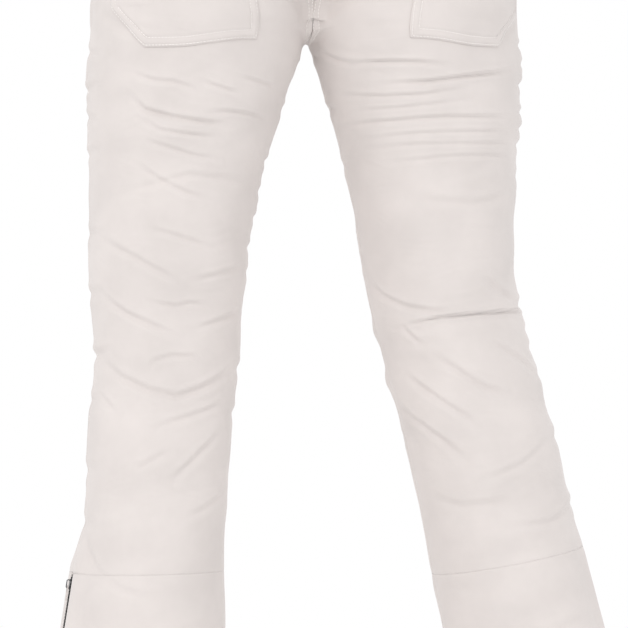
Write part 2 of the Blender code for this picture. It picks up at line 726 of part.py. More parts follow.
def add_waist():
    """The waistband, its loops, the tab that closes it and the snap that holds the tab."""
    levels = heights_between(WAIST_TOP, WAIST_TOP - BAND_HEIGHT + SEAM_GAP, 0.02)
    band = cloth("waistband", "shell", band_rows(levels, 9), BAND_LAYER)
    add_belt_loop("belt_loop_back", 1.0, "left")
    for side in SIDES:
        add_belt_loop(f"belt_loop_{side}_front", FRONT_LOOP, side)
        add_belt_loop(f"belt_loop_{side}_rear", REAR_LOOP, side)
    middle = WAIST_TOP - BAND_HEIGHT / 2
    points = tab_rows((WAIST_TOP - 0.002, middle, WAIST_TOP - BAND_HEIGHT + 0.002))
    hinge = add_empty("closure_hinge", sewn_edge(points[0, 0], points[-1, 0]))
    inner = BAND_LAYER[0] + TAB_RISE
    tab = cloth("closure_tab", "shell", points, (inner + TAB_CLOTH, inner), parent=hinge)
    length = row("right", "front", middle)[1][-1]
    snap, out = at("right", "front", middle, length - SNAP_FROM_FLY)
    frame = frame_between(snap, snap - np.array([0, 0, 0.01]), out)
    frame.translation += BAND_LAYER[0] * frame.col[2].to_3d()
    pierce(frame, tab, band)
    add_snap(frame, hinge)


def pierce(frame, *cloths):
    """Cuts the snap's hole through the tab and the waistband."""
    outline = [(0, -0.02), (HOLE_RADIUS, -0.02), (HOLE_RADIUS, 0.02), (0, 0.02)]
    hole = bpy.data.objects.new("snap_hole", turned("snap_hole", outline))
    bpy.context.scene.collection.objects.link(hole)
    hole.parent, hole.matrix_basis = ROOT, frame
    hole.hide_render, hole.display_type = True, "WIRE"
    for pierced in cloths:
        cut = pierced.modifiers.new("Snap hole", "BOOLEAN")
        cut.operation, cut.solver, cut.object = "DIFFERENCE", "EXACT", hole


def sewn_edge(top, bottom):
    """A frame on the line about which the closure tab swings, with z up along that line."""
    rise = BAND_LAYER[0] + TAB_RISE + TAB_CLOTH / 2
    top, bottom = (p + rise * normals_of(p[None])[0] for p in (top, bottom))
    up = Vector(top - bottom).normalized()
    frame = up.to_track_quat("Z", "Y").to_matrix().to_4x4()
    frame.translation = Vector((top + bottom) / 2)
    return frame


def add_snap(frame, hinge):
    """Cap and socket ride on the tab, and stud and its back plate on the waistband. The frame's z
    starts at the waistband's outer face."""
    under, over, clear = TAB_RISE, TAB_RISE + TAB_CLOTH, SNAP_CLEAR
    inside = BAND_LAYER[1] - BAND_LAYER[0]
    cap = [(0, under - 0.0013), (0.0015, under - 0.0013), (0.0015, over + clear), (0.0078, over + clear),
           (0.0080, over + 0.0009), (0.0062, over + 0.0017), (0.0030, over + 0.0020), (0, over + 0.0020)]
    socket = [(0.0030, under - clear), (0.0060, under - clear), (0.0060, under - 0.0024),
              (0.0030, under - 0.0024)]
    stud = [(0, clear), (0.0060, clear), (0.0060, 0.0011), (0.0022, 0.0011), (0.0026, 0.0016),
            (0.0024, 0.0024), (0, 0.0024)]
    back = [(0, inside - 0.0012), (0.0056, inside - 0.0012), (0.0058, inside - clear),
            (0.0015, inside - clear), (0.0015, 0.0), (0, 0.0)]
    for name, profile, parent in (("snap_cap", cap, hinge), ("snap_socket", socket, hinge),
                                  ("snap_stud", stud, None), ("snap_back_plate", back, None)):
        place(name, turned(name, profile), "metal", frame, parent=parent)


def add_fly_shield(frames):
    """The strip of cloth behind the fly zip."""
    frame, length = frames["fly"], frames["fly_length"]
    outline = [(-0.016, -0.004), (0.026, -0.004), (0.026, length), (0.018, length + 0.010),
               (-0.006, length + 0.010), (-0.016, length)]
    place("fly_shield", extruded("fly_shield", outline, -0.0066, -0.0054), "shell", frame)


def main():
    global ROOT
    clear_scene()
    ROOT = bpy.data.objects.new("waist_middle", None)
    bpy.context.scene.collection.objects.link(ROOT)
    ROOT.location = (0, 0, -WAIST_TOP)
    frames = zip_frames()
    for side in SIDES:
        ankle, hand = side + "_ankle", side + "_hand"
        SIDE_ZIPS.append(SideZip(side, frames[ankle], frames[ankle + "_length"], ANKLE_SPREAD,
                                 CALF_SEAM[side] + 0.0001, HEM[side] - 0.02, 0.040))
        SIDE_ZIPS.append(SideZip(side, frames[hand], frames[hand + "_length"], 0.0,
                                 HAND_ZIP[0] + 0.006, HAND_ZIP[1] - 0.006, 0.050))
    ROWS.clear()
    for side in SIDES:
        add_panels(side)
        add_inside(side)
        add_outside(side)
    add_waist()
    add_fly_shield(frames)
    add_zips(frames)


main()
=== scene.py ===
"""Looks of the ski pants: fine cloth, creases, seams, stitches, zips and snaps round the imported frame.

The shell is found on the same field as the CAD panels, at heights above the left hem, and every point
then moves down by the waist's height. Places on a leg are (share, height): share runs from 0 at the
side seam to 1 at the back's inner seam, and to -1 at the front's.
"""

import math

import bmesh
import bpy
import numpy as np
from mathutils import Matrix, Vector


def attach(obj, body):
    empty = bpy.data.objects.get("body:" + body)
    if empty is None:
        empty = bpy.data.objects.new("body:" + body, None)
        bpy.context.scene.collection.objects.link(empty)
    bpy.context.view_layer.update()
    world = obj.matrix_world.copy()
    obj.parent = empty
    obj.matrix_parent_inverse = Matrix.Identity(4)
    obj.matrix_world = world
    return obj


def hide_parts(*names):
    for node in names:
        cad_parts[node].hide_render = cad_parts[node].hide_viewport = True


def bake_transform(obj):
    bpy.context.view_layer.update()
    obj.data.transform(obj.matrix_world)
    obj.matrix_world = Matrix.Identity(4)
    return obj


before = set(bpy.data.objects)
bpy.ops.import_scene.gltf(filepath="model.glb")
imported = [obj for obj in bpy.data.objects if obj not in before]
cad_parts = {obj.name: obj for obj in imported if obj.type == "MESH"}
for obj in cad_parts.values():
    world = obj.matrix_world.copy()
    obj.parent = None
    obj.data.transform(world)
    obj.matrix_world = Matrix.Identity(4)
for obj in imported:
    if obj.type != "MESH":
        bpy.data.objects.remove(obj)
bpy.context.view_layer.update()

# ---------------------------------------------------------------- the shell's shape, in metres
WAIST_TOP = 1.040
BAND_HEIGHT = 0.040
YOKE_SEAM = 0.962
SMOOTH_JOIN = 0.030
CALF_SEAM = {"left": 0.250, "right": 0.258}
HEM = {"left": 0.000, "right": 0.017}
SIDES = {"left": 1, "right": -1}
SIDE_SEAM_TURN = math.radians(-1)

LEG_SECTIONS = {
    "left": [
        (-0.030, 0.1800, 0.1005, 0.018, 0.080),
        (0.000, 0.1780, 0.0985, 0.018, 0.080),
        (0.212, 0.1625, 0.0800, 0.014, 0.076),
        (0.261, 0.1580, 0.0745, 0.013, 0.075),
        (0.300, 0.1520, 0.0700, 0.012, 0.074),
        (0.392, 0.1465, 0.0715, 0.008, 0.074),
        (0.462, 0.1380, 0.0720, 0.000, 0.073),
        (0.532, 0.1375, 0.0775, -0.002, 0.078),
        (0.632, 0.1305, 0.0850, 0.002, 0.086),
        (0.732, 0.1178, 0.1010, 0.008, 0.098),
        (0.776, 0.1100, 0.1065, 0.010, 0.106),
        (0.832, 0.1075, 0.1045, 0.013, 0.117),
        (0.880, 0.0975, 0.1060, 0.014, 0.124),
        (0.930, 0.0865, 0.1040, 0.008, 0.119),
        (0.980, 0.0780, 0.0970, 0.003, 0.112),
        (1.040, 0.0700, 0.0850, 0.000, 0.104),
        (1.080, 0.0680, 0.0820, 0.000, 0.102),
    ],
    "right": [
        (-0.030, -0.2735, 0.0925, 0.014, 0.080),
        (0.010, -0.2625, 0.0905, 0.014, 0.080),
        (0.212, -0.2160, 0.0790, 0.012, 0.076),
        (0.270, -0.2035, 0.0775, 0.011, 0.075),
        (0.372, -0.1815, 0.0765, 0.008, 0.074),
        (0.452, -0.1610, 0.0765, 0.000, 0.073),
        (0.532, -0.1415, 0.0760, -0.002, 0.077),
        (0.632, -0.1315, 0.0840, 0.002, 0.086),
        (0.732, -0.1195, 0.1000, 0.008, 0.098),
        (0.776, -0.1110, 0.1060, 0.010, 0.106),
        (0.832, -0.1060, 0.1045, 0.013, 0.117),
        (0.880, -0.0975, 0.1060, 0.014, 0.124),
        (0.930, -0.0865, 0.1040, 0.008, 0.119),
        (0.980, -0.0780, 0.0970, 0.003, 0.112),
        (1.040, -0.0700, 0.0850, 0.000, 0.104),
        (1.080, -0.0680, 0.0820, 0.000, 0.102),
    ],
}
TRUNK_SECTIONS = [
    (0.700, -0.060, -0.004, 0.004),
    (0.783, -0.012, -0.004, 0.004),
    (0.803, 0.022, -0.014, 0.022),
    (0.817, 0.050, -0.032, 0.048),
    (0.832, 0.078, -0.049, 0.070),
    (0.860, 0.115, -0.076, 0.104),
    (0.900, 0.145, -0.097, 0.126),
    (0.950, 0.157, -0.107, 0.124),
    (1.000, 0.155, -0.108, 0.112),
    (1.040, 0.150, -0.104, 0.105),
    (1.080, 0.148, -0.100, 0.100),
]
LEG_TIP = {
    "left": [(0.0, -1.0), (0.6, -0.5), (0.8, 0.0), (1.1, 0.0)],
    "right": [(0.0, 11.0), (0.27, 10.5), (0.45, 8.0), (0.62, 4.0), (0.8, 0.0), (1.1, 0.0)],
}
WAIST_TIP = [(0.0, 0.0), (0.84, 0.0), (0.96, 6.0), (1.04, 8.5), (1.1, 8.5)]

# Zips, as the CAD has them.
SLIT_HALF = 0.0064
FLAT_HALF = 0.0165
TOOTH_INNER = 0.0006
TAPE_OUT = -0.0022
ANKLE_SPREAD = 0.0014
HAND_ZIP = (0.976, 0.852)
FLY_ZIP = (0.990, 0.880)
FLY_DEPTHS = (0.0085, 0.0125)
FLY_SHIFT = 0.0080
ZIP_SETTLING = {"ankle": 0.040, "hand": 0.050}

# The hollow where the legs meet under the seat, and how far back the cloth spans it at its two ends.
HOLLOW = (0.788, 0.816)
TROUGH = (0.0485, 0.0547)
TROUGH_BEND = 50
TROUGH_HALF = 0.0150
TROUGH_EDGE = 0.0035


def smooth_step(x):
    x = np.clip(x, 0, 1)
    return x * x * (3 - 2 * x)


def bell(x):
    return np.exp(-(x**2))


def walked(points):
    """How far along a line of points each of them lies."""
    return np.concatenate([[0], np.cumsum(np.linalg.norm(np.diff(points, axis=0), axis=1))])


def paired(first, second):
    return np.stack(np.broadcast_arrays(first, second), -1)


class Smooth:
    """A smooth curve through (height, value, ...) rows, one column at a time."""

    def __init__(self, x, y):
        self.x, self.y = np.asarray(x, float), np.asarray(y, float)
        slopes = np.diff(self.y, axis=0) / np.diff(self.x)[:, None]
        inner = (slopes[1:] + slopes[:-1]) / 2
        inner[slopes[1:] * slopes[:-1] <= 0] = 0
        limit = 3 * np.minimum(abs(slopes[1:]), abs(slopes[:-1]))
        inner = np.clip(inner, -limit, limit)
        self.m = np.vstack([slopes[:1], inner, slopes[-1:]])

    def __call__(self, at):
        at = np.clip(np.asarray(at, float), self.x[0], self.x[-1])
        i = np.clip(np.searchsorted(self.x, at) - 1, 0, len(self.x) - 2)
        step = self.x[i + 1] - self.x[i]
        t, step = ((at - self.x[i]) / step)[..., None], step[..., None]
        rest = t * t * (3 - 2 * t)
        bend = step * t * (1 - t) * ((1 - t) * self.m[i] - t * self.m[i + 1])
        return self.y[i] * (1 - rest) + self.y[i + 1] * rest + bend


def through(rows):
    table = np.array(rows, float)
    return Smooth(table[:, 0], table[:, 1:])


LEG = {side: through(rows) for side, rows in LEG_SECTIONS.items()}
TRUNK = through(TRUNK_SECTIONS)
TIP = {side: through(rows) for side, rows in LEG_TIP.items()}
LEAN = through(WAIST_TIP)


def soft_min(a, b, reach):
    share = np.clip(1 - abs(a - b) / reach, 0, None)
    return np.minimum(a, b) - share**2 * reach / 4


def ellipse_distance(points, x, y, half_width, half_depth):
    small = np.minimum(half_width, half_depth)
    across = (points[..., 0] - x) / np.maximum(half_width, 1e-4)
    along = (points[..., 1] - y) / np.maximum(half_depth, 1e-4)
    return (np.hypot(across, along) - 1) * np.maximum(small, 1e-4) + np.maximum(1e-4 - small, 0)


def field(points):
    z = points[..., 2]
    found = [ellipse_distance(points, *np.moveaxis(LEG[s](z)[..., [0, 2, 1, 3]], -1, 0)) for s in SIDES]
    width, front, back = np.moveaxis(TRUNK(z), -1, 0)
    trunk = ellipse_distance(points, 0.0, (front + back) / 2, width, (back - front) / 2)
    return soft_min(soft_min(found[0], found[1], SMOOTH_JOIN / 2), trunk, SMOOTH_JOIN)


def row_frame(side, height):
    x, _, y, _ = LEG[side](height)
    tip, lean = math.radians(TIP[side](height)[0]), math.radians(LEAN(height)[0])
    outward = np.array([SIDES[side] * math.cos(tip), 0, math.sin(tip)])
    return np.array([x, y, height]), outward, np.array([0, math.cos(lean), math.sin(lean)])


def first_crossing(start, directions, reach=0.30, steps=80):
    side = 1 if start[0] >= 0 else -1

    def outside(distance):
        points = start + distance * directions
        return (field(points) > 0) | (side * points[..., 0] < -1e-6)

    far = np.linspace(0, reach, steps)
    hit = np.argmax(outside(far[:, None, None]), axis=0)
    low, high = far[np.maximum(hit - 1, 0)], far[hit]
    for _ in range(18):
        middle = (low + high) / 2
        beyond = outside(middle[:, None])
        low, high = np.where(beyond, low, middle), np.where(beyond, middle, high)
    return start + low[:, None] * directions


def crotch_height():
    depth = np.linspace(-0.08, 0.08, 161)
    low, high = 0.70, 0.90
    for _ in range(24):
        height = (low + high) / 2
        points = np.stack([0 * depth, depth, 0 * depth + height], 1)
        low, high = (low, height) if field(points).min() < 0 else (height, high)
    return high


CROTCH = crotch_height()


def seam_end(side, height, way):
    middle, outward, backward = row_frame(side, height)
    across = -middle[0] / outward[0]
    reach = np.linspace(-0.2, 0.2, 1601)
    inside = field(middle + across * outward + reach[:, None] * backward) < 0
    if not inside.any():
        return way * math.pi, None
    edge = reach[inside].max() if way > 0 else reach[inside].min()
    return math.atan2(edge, across), middle + across * outward + edge * backward


ZIPS = {}


def local_to(matrix, points):
    return (points - np.array(matrix.translation)) @ np.array(matrix.to_3x3())


def settle(points):
    """Draws the shell onto the flat strip of each zip that is sewn into the side seam."""
    for found in ZIPS.values():
        if found["flat_end"] is None:
            continue
        local = local_to(found["matrix"], points)
        beyond = np.maximum(np.maximum(-local[:, 1], local[:, 1] - found["length"]), 0)
        away = np.hypot(abs(local[:, 0]), beyond)
        near = FLAT_HALF + ANKLE_SPREAD
        share = smooth_step(1 - (away - near) / (found["flat_end"] - near))
        share = share * (abs(local[:, 2]) < found["flat_end"])
        points = points - (share * local[:, 2])[:, None] * np.array(found["matrix"].col[2][:3])
    return points


ROW_POINTS = 97


def bridged(points, height):
    """Lifts a row of points that runs through the hollow to a shallow trough."""
    trough = np.interp(height, HOLLOW, TROUGH) + TROUGH_BEND * points[:, 0] ** 2
    share = np.clip((TROUGH_HALF - abs(points[:, 0])) / TROUGH_EDGE, 0, 1)
    points[:, 1] += np.maximum(trough - points[:, 1], 0) * share
    return points


def row(side, way, height):
    """Points along a row from the side seam to the inner seam, evenly spaced, and the row's length."""
    end, seam = seam_end(side, height, way)
    turns = np.linspace(SIDE_SEAM_TURN, end, 90)
    middle, outward, backward = row_frame(side, height)
    rays = np.cos(turns)[:, None] * outward + np.sin(turns)[:, None] * backward
    points = settle(first_crossing(middle, rays))
    if seam is not None:
        points[-1] = seam
    if way > 0 and HOLLOW[0] < height < HOLLOW[1]:
        points = bridged(points, height)
    along = walked(points)
    places = np.linspace(0, along[-1], ROW_POINTS)
    return np.stack([np.interp(places, along, points[:, k]) for k in range(3)], 1), along[-1]


def frame_between(top, bottom, out):
    down = (Vector(bottom) - Vector(top)).normalized()
    normal = Vector(out)
    normal = (normal - normal.dot(down) * down).normalized()
    matrix = Matrix((down.cross(normal), down, normal)).transposed().to_4x4()
    matrix.translation = Vector(top)
    return matrix


# ---------------------------------------------------------------- where places on a leg lie

ROOT_DROP = np.array([0, 0, -WAIST_TOP])


def at(side, way, height, distance):
    points, length = row(side, way, height)
    places = np.linspace(0, length, ROW_POINTS)
    return np.array([np.interp(distance, places, points[:, k]) for k in range(3)])


def normals_of(points):
    step = 5e-4
    slope = np.stack([field(points + d) - field(points - d) for d in np.eye(3) * step], -1)
    return slope / np.linalg.norm(slope, axis=-1, keepdims=True)


def zip_frames():
    """Each zip's frame (x across, y down, z out), its length, and how it bears on the cloth beside it."""
    made = {}
    for side in SIDES:
        heights = {"ankle": (CALF_SEAM[side] - 0.001, HEM[side] + 0.003), "hand": HAND_ZIP}
        spans = {"ankle": (CALF_SEAM[side] + 0.0001, HEM[side] - 0.02),
                 "hand": (HAND_ZIP[0] + 0.006, HAND_ZIP[1] - 0.006)}
        for name, levels in heights.items():
            ends = [at(side, 1, h, 0.0) for h in levels]
            top, bottom = spans[name]
            made[f"{side}_{name}"] = {
                "matrix": frame_between(*ends, normals_of(np.array(ends)).sum(0)),
                "length": float(np.linalg.norm(ends[1] - ends[0])),
                "side": side, "flat_end": ZIP_SETTLING[name], "top": top, "bottom": bottom,
                "spread": ANKLE_SPREAD if name == "ankle" else 0.0,
            }
    fly = []
    for height, depth in zip(FLY_ZIP, FLY_DEPTHS):
        length = row("left", -1, height)[1]
        fly.append(at("left", -1, height, length - FLY_SHIFT) + np.array([0, depth, 0]))
    made["fly"] = {
        "matrix": frame_between(*fly, (0, -1, 0)),
        "length": float(np.linalg.norm(fly[1] - fly[0])),
        "side": "", "flat_end": None, "top": 0, "bottom": 0, "spread": 0.0,
    }
    return made


ZIPS.update(zip_frames())


class Leg:
    """The rows of one side's front (-1) or back (+1), ready to be read at any share and height."""

    def __init__(self, side, way):
        self.side, self.way = side, way
        near = np.array([0.0006, 0.004, 0.010, 0.018, 0.028, 0.04, 0.055, 0.075])
        low = np.concatenate([np.arange(HEM[side] - 0.002, CROTCH - 0.09, 0.02), CROTCH - near[::-1]])
        high = np.concatenate([CROTCH + near, np.arange(CROTCH + 0.09, WAIST_TOP + 0.006, 0.016)])
        self.parts = []
        for heights in (low, high):
            found = [row(side, way, h) for h in heights]
            table = np.array([points.ravel() for points, _ in found])
            lengths = np.array([[length] for _, length in found])
            self.parts.append((Smooth(heights, table), Smooth(heights, lengths)))

    def length(self, heights):
        heights = np.asarray(heights, float)
        low, high = (part[1](heights)[..., 0] for part in self.parts)
        return np.where(heights < CROTCH, low, high)

    def rows(self, heights):
        heights = np.asarray(heights, float)
        low, high = (part[0](heights) for part in self.parts)
        return np.where((heights < CROTCH)[:, None], low, high).reshape(len(heights), ROW_POINTS, 3)

    def places(self, distances, heights):
        """Points at these distances along the rows at these heights: arrays of the same shape (rows,
        columns), with one height per row."""
        table, length = self.rows(heights), self.length(heights)
        share = np.clip(distances / length[:, None], 0, 1) * (ROW_POINTS - 1)
        index = np.clip(share.astype(int), 0, ROW_POINTS - 2)
        part = (share - index)[..., None]
        r = np.arange(len(heights))[:, None]
        return table[r, index] * (1 - part) + table[r, index + 1] * part


LEGS = {(side, way): Leg(side, way) for side in SIDES for way in (-1, 1)}


def zip_edge(side, way, height, half, otherwise):
    """How far along the row at this height the line lies that runs this far beside a side zip."""
    for found in ZIPS.values():
        if found["side"] != side or not found["bottom"] < height < found["top"]:
            continue
        leg = LEGS[side, way]
        length = leg.length([height])[0]
        distances = np.linspace(0, min(0.08, length), 41)
        local = local_to(found["matrix"], leg.places(distances[None], [height])[0])
        away = np.sign(local[-1, 0]) * local[:, 0]
        down = np.clip(local[0, 1] / found["length"], 0, 1)
        return float(np.interp(half + found["spread"] * down, away, distances))
    return otherwise


# ---------------------------------------------------------------- creases
# (depth and half width in millimetres, then places on the back of that leg as (share, height)).

BACK_CREASES = {
    "right": [
        (2.8, 3.0, [(0.81, 0.7525), (0.67, 0.7535), (0.56, 0.7525), (0.47, 0.7485)]),
        (3.0, 3.0, [(0.73, 0.7315), (0.56, 0.7335), (0.40, 0.7395), (0.18, 0.7475)]),
        (2.0, 2.6, [(0.91, 0.7245), (0.70, 0.7205), (0.57, 0.7215), (0.41, 0.7275)]),
        (1.6, 2.6, [(0.84, 0.7075), (0.64, 0.7095), (0.52, 0.7125), (0.41, 0.7155)]),
        (2.3, 3.0, [(0.97, 0.6925), (0.85, 0.6955), (0.65, 0.6975), (0.50, 0.6995), (0.17, 0.6975)]),
        (1.6, 2.6, [(0.85, 0.6805), (0.66, 0.6835), (0.53, 0.6845), (0.16, 0.6835)]),
        (1.5, 2.6, [(0.81, 0.6715), (0.61, 0.6735), (0.46, 0.6725), (0.15, 0.6715)]),
        (1.5, 3.0, [(0.76, 0.6565), (0.55, 0.6595), (0.46, 0.6605), (0.14, 0.6575)]),
        (2.4, 3.9, [(0.96, 0.546), (0.86, 0.531), (0.74, 0.518), (0.63, 0.511), (0.50, 0.507)]),
        (3.2, 2.0, [(0.84, 0.4975), (0.70, 0.502), (0.60, 0.5042), (0.40, 0.503), (0.20, 0.5005),
                    (0.04, 0.494)]),
        (1.5, 7.0, [(0.80, 0.494), (0.60, 0.500), (0.40, 0.499), (0.10, 0.495)]),
        (2.0, 4.7, [(0.43, 0.477), (0.26, 0.452), (0.15, 0.431)]),
        (1.7, 3.9, [(0.79, 0.501), (0.70, 0.479)]),
        (2.4, 4.7, [(0.67, 0.468), (0.58, 0.451), (0.49, 0.432), (0.36, 0.416)]),
        (2.2, 4.7, [(0.86, 0.456), (0.72, 0.432), (0.62, 0.411), (0.54, 0.391)]),
        (2.0, 5.5, [(0.98, 0.432), (0.81, 0.404), (0.70, 0.379), (0.61, 0.356)]),
        (2.0, 5.5, [(0.40, 0.541), (0.31, 0.524), (0.18, 0.507)]),
        (2.0, 3.5, [(0.94, 0.768), (0.85, 0.757), (0.77, 0.752)]),
        (1.2, 5.5, [(0.16, 0.620), (0.42, 0.612), (0.68, 0.622)]),
        (1.3, 4.7, [(0.21, 0.372), (0.42, 0.352), (0.64, 0.341)]),
        (1.3, 5.5, [(0.89, 0.336), (0.71, 0.322), (0.47, 0.318)]),
        (1.4, 4.7, [(0.10, 0.304), (0.33, 0.291), (0.58, 0.296)]),
    ],
    "left": [
        (2.0, 3.4, [(0.25, 0.741), (0.34, 0.733), (0.41, 0.731), (0.50, 0.721)]),
        (2.0, 3.0, [(0.49, 0.732), (0.63, 0.720)]),
        (1.8, 3.0, [(0.61, 0.737), (0.79, 0.727)]),
        (3.1, 3.8, [(0.25, 0.721), (0.32, 0.704), (0.42, 0.697), (0.53, 0.692), (0.63, 0.688)]),
        (2.0, 3.0, [(0.52, 0.700), (0.59, 0.703), (0.68, 0.701), (0.80, 0.696)]),
        (2.0, 3.0, [(0.30, 0.696), (0.38, 0.685), (0.49, 0.680), (0.60, 0.676)]),
        (1.8, 3.4, [(0.31, 0.677), (0.41, 0.668), (0.50, 0.660), (0.61, 0.655)]),
        (1.8, 3.8, [(0.29, 0.653), (0.39, 0.637), (0.49, 0.624), (0.60, 0.615)]),
        (1.7, 3.8, [(0.35, 0.589), (0.44, 0.584), (0.54, 0.576), (0.64, 0.568)]),
        (2.0, 4.6, [(0.13, 0.581), (0.29, 0.564), (0.42, 0.547), (0.53, 0.528)]),
        (1.8, 3.8, [(0.55, 0.536), (0.65, 0.543), (0.83, 0.552)]),
        (1.7, 3.4, [(0.37, 0.517), (0.49, 0.512), (0.55, 0.515), (0.64, 0.512)]),
        (2.4, 4.6, [(0.13, 0.525), (0.29, 0.504), (0.42, 0.491), (0.53, 0.479)]),
        (2.0, 3.8, [(0.54, 0.488), (0.65, 0.495), (0.86, 0.508)]),
        (1.8, 3.4, [(0.37, 0.447), (0.40, 0.459), (0.47, 0.464), (0.56, 0.463), (0.60, 0.456)]),
        (2.8, 4.9, [(0.05, 0.468), (0.23, 0.445), (0.38, 0.431), (0.51, 0.424), (0.61, 0.431),
                    (0.75, 0.444), (0.85, 0.461)]),
        (2.0, 4.2, [(0.80, 0.420), (0.62, 0.407), (0.45, 0.396), (0.42, 0.383)]),
        (1.8, 4.9, [(0.79, 0.392), (0.64, 0.368), (0.53, 0.345), (0.52, 0.328)]),
        (1.5, 4.6, [(0.51, 0.372), (0.34, 0.351)]),
        (1.7, 4.6, [(0.10, 0.429), (0.25, 0.408)]),
        (1.7, 4.6, [(0.05, 0.291), (0.21, 0.257), (0.35, 0.237), (0.52, 0.223)]),
        (1.2, 4.6, [(0.22, 0.622), (0.50, 0.641), (0.79, 0.632)]),
        (1.3, 5.3, [(0.85, 0.332), (0.68, 0.312), (0.54, 0.301)]),
    ],
}

# The same on the front of either leg: whiskers from the crotch, folds over the knee and the shin.
FRONT_CREASES = [
    (3.0, 6.0, [(0.97, 0.800), (0.78, 0.822), (0.55, 0.852), (0.38, 0.872)]),
    (2.6, 5.5, [(0.97, 0.782), (0.74, 0.794), (0.50, 0.812), (0.28, 0.826)]),
    (2.2, 5.5, [(0.96, 0.765), (0.74, 0.768), (0.50, 0.778), (0.30, 0.790)]),
    (1.8, 6.0, [(0.95, 0.744), (0.72, 0.742), (0.52, 0.748)]),
    (1.4, 7.0, [(0.85, 0.690), (0.60, 0.698), (0.36, 0.694)]),
    (1.5, 7.0, [(0.14, 0.648), (0.38, 0.640), (0.66, 0.646)]),
    (2.2, 6.5, [(0.92, 0.566), (0.70, 0.552), (0.46, 0.556), (0.18, 0.574)]),
    (2.0, 6.0, [(0.94, 0.472), (0.74, 0.484), (0.50, 0.482), (0.22, 0.466)]),
    (2.6, 6.5, [(0.90, 0.444), (0.66, 0.455), (0.40, 0.450), (0.12, 0.432)]),
    (2.0, 6.5, [(0.80, 0.412), (0.56, 0.420), (0.32, 0.410)]),
    (1.8, 7.0, [(0.18, 0.374), (0.44, 0.382), (0.72, 0.366)]),
    (1.6, 7.0, [(0.88, 0.334), (0.62, 0.342), (0.36, 0.330)]),
    (1.5, 7.0, [(0.16, 0.292), (0.42, 0.302), (0.70, 0.290)]),
    (1.3, 8.0, [(0.84, 0.206), (0.58, 0.196), (0.30, 0.204)]),
    (1.3, 8.0, [(0.20, 0.128), (0.46, 0.120), (0.74, 0.130)]),
]

# Below the calf seam, and over the seat, on the back.
EASY_CREASES = [
    (1.5, 8.0, [(0.22, 0.196), (0.46, 0.184), (0.74, 0.192)]),
    (1.3, 8.0, [(0.80, 0.146), (0.54, 0.136), (0.26, 0.144)]),
    (1.2, 8.0, [(0.24, 0.092), (0.52, 0.084), (0.78, 0.094)]),
    (2.0, 7.0, [(0.96, 0.806), (0.84, 0.818), (0.72, 0.842)]),
    (1.6, 8.0, [(0.97, 0.856), (0.88, 0.872), (0.80, 0.898)]),
    (1.5, 8.0, [(0.10, 0.802), (0.20, 0.790), (0.30, 0.778)]),
]


# Short folds that cross the side seam and the inner seam of a leg: height, depth and half width in
# millimetres, and how far they reach into the back and into the front, in metres.
SIDE_FOLDS = {
    "right": [
        (0.774, 2.2, 3.0, 0.055, 0.030), (0.757, 2.2, 3.2, 0.050, 0.035), (0.731, 2.6, 3.6, 0.060, 0.040),
        (0.706, 2.2, 3.0, 0.060, 0.030), (0.689, 2.0, 3.2, 0.060, 0.040), (0.669, 1.8, 3.4, 0.055, 0.030),
        (0.640, 1.2, 4.0, 0.045, 0.040), (0.508, 3.4, 4.2, 0.050, 0.040), (0.479, 1.6, 4.0, 0.045, 0.050),
        (0.460, 1.3, 4.0, 0.040, 0.035), (0.436, 1.4, 5.0, 0.050, 0.040), (0.372, 1.8, 5.5, 0.045, 0.050),
        (0.303, 1.8, 5.0, 0.045, 0.040),
    ],
    "left": [
        (0.764, 1.6, 3.6, 0.040, 0.045), (0.728, 1.8, 3.6, 0.045, 0.050), (0.700, 1.8, 3.4, 0.040, 0.055),
        (0.664, 1.6, 3.8, 0.045, 0.050), (0.585, 1.4, 4.5, 0.050, 0.045), (0.526, 1.8, 4.5, 0.045, 0.055),
        (0.465, 2.8, 4.5, 0.050, 0.060), (0.420, 1.6, 5.0, 0.045, 0.050), (0.352, 1.6, 5.5, 0.040, 0.050),
        (0.300, 1.4, 5.0, 0.045, 0.040),
    ],
}
INNER_FOLDS = {
    "right": [
        (0.764, 1.8, 4.0, 0.030, 0.035), (0.712, 1.6, 4.0, 0.030, 0.040), (0.660, 1.4, 4.5, 0.035, 0.040),
        (0.545, 0.7, 6.0, 0.040, 0.045), (0.486, 0.8, 6.0, 0.040, 0.045), (0.438, 0.7, 6.0, 0.040, 0.040),
        (0.392, 0.6, 6.0, 0.035, 0.040),
    ],
    "left": [
        (0.752, 1.8, 4.0, 0.030, 0.035), (0.708, 1.8, 4.0, 0.030, 0.035), (0.655, 1.9, 3.6, 0.035, 0.040),
        (0.628, 1.9, 3.6, 0.035, 0.035), (0.598, 1.7, 3.6, 0.035, 0.035), (0.571, 1.7, 3.6, 0.035, 0.035),
        (0.545, 1.5, 4.0, 0.035, 0.035), (0.450, 1.8, 5.0, 0.040, 0.045), (0.404, 1.6, 5.0, 0.035, 0.040),
    ],
}


def fold_relief(folds, out_of_seam, heights, way):
    """Folds across a seam, at signed distances from it: the same function serves front and back."""
    total = np.zeros(heights.shape)
    for height, depth, width, behind, ahead in folds:
        reach = behind if way > 0 else ahead
        place = way * out_of_seam
        middle = height + 0.10 * place * math.sin(height * 97)
        fade = 1 - smooth_step((out_of_seam - 0.35 * reach) / (0.65 * reach))
        total += depth / 1000 * fade * profile(heights - middle, width / 1000)
    return total


def profile(away, width):
    """A crease's cross section at signed distances from it: a valley with a rounded fold above it and a
    lower one below."""
    t = away / width
    valley = -np.exp(0.45 - np.sqrt(t * t + 0.2))
    return valley + 0.62 * bell((t - 1.75) / 1.05) + 0.34 * bell((t + 2.0) / 1.3)


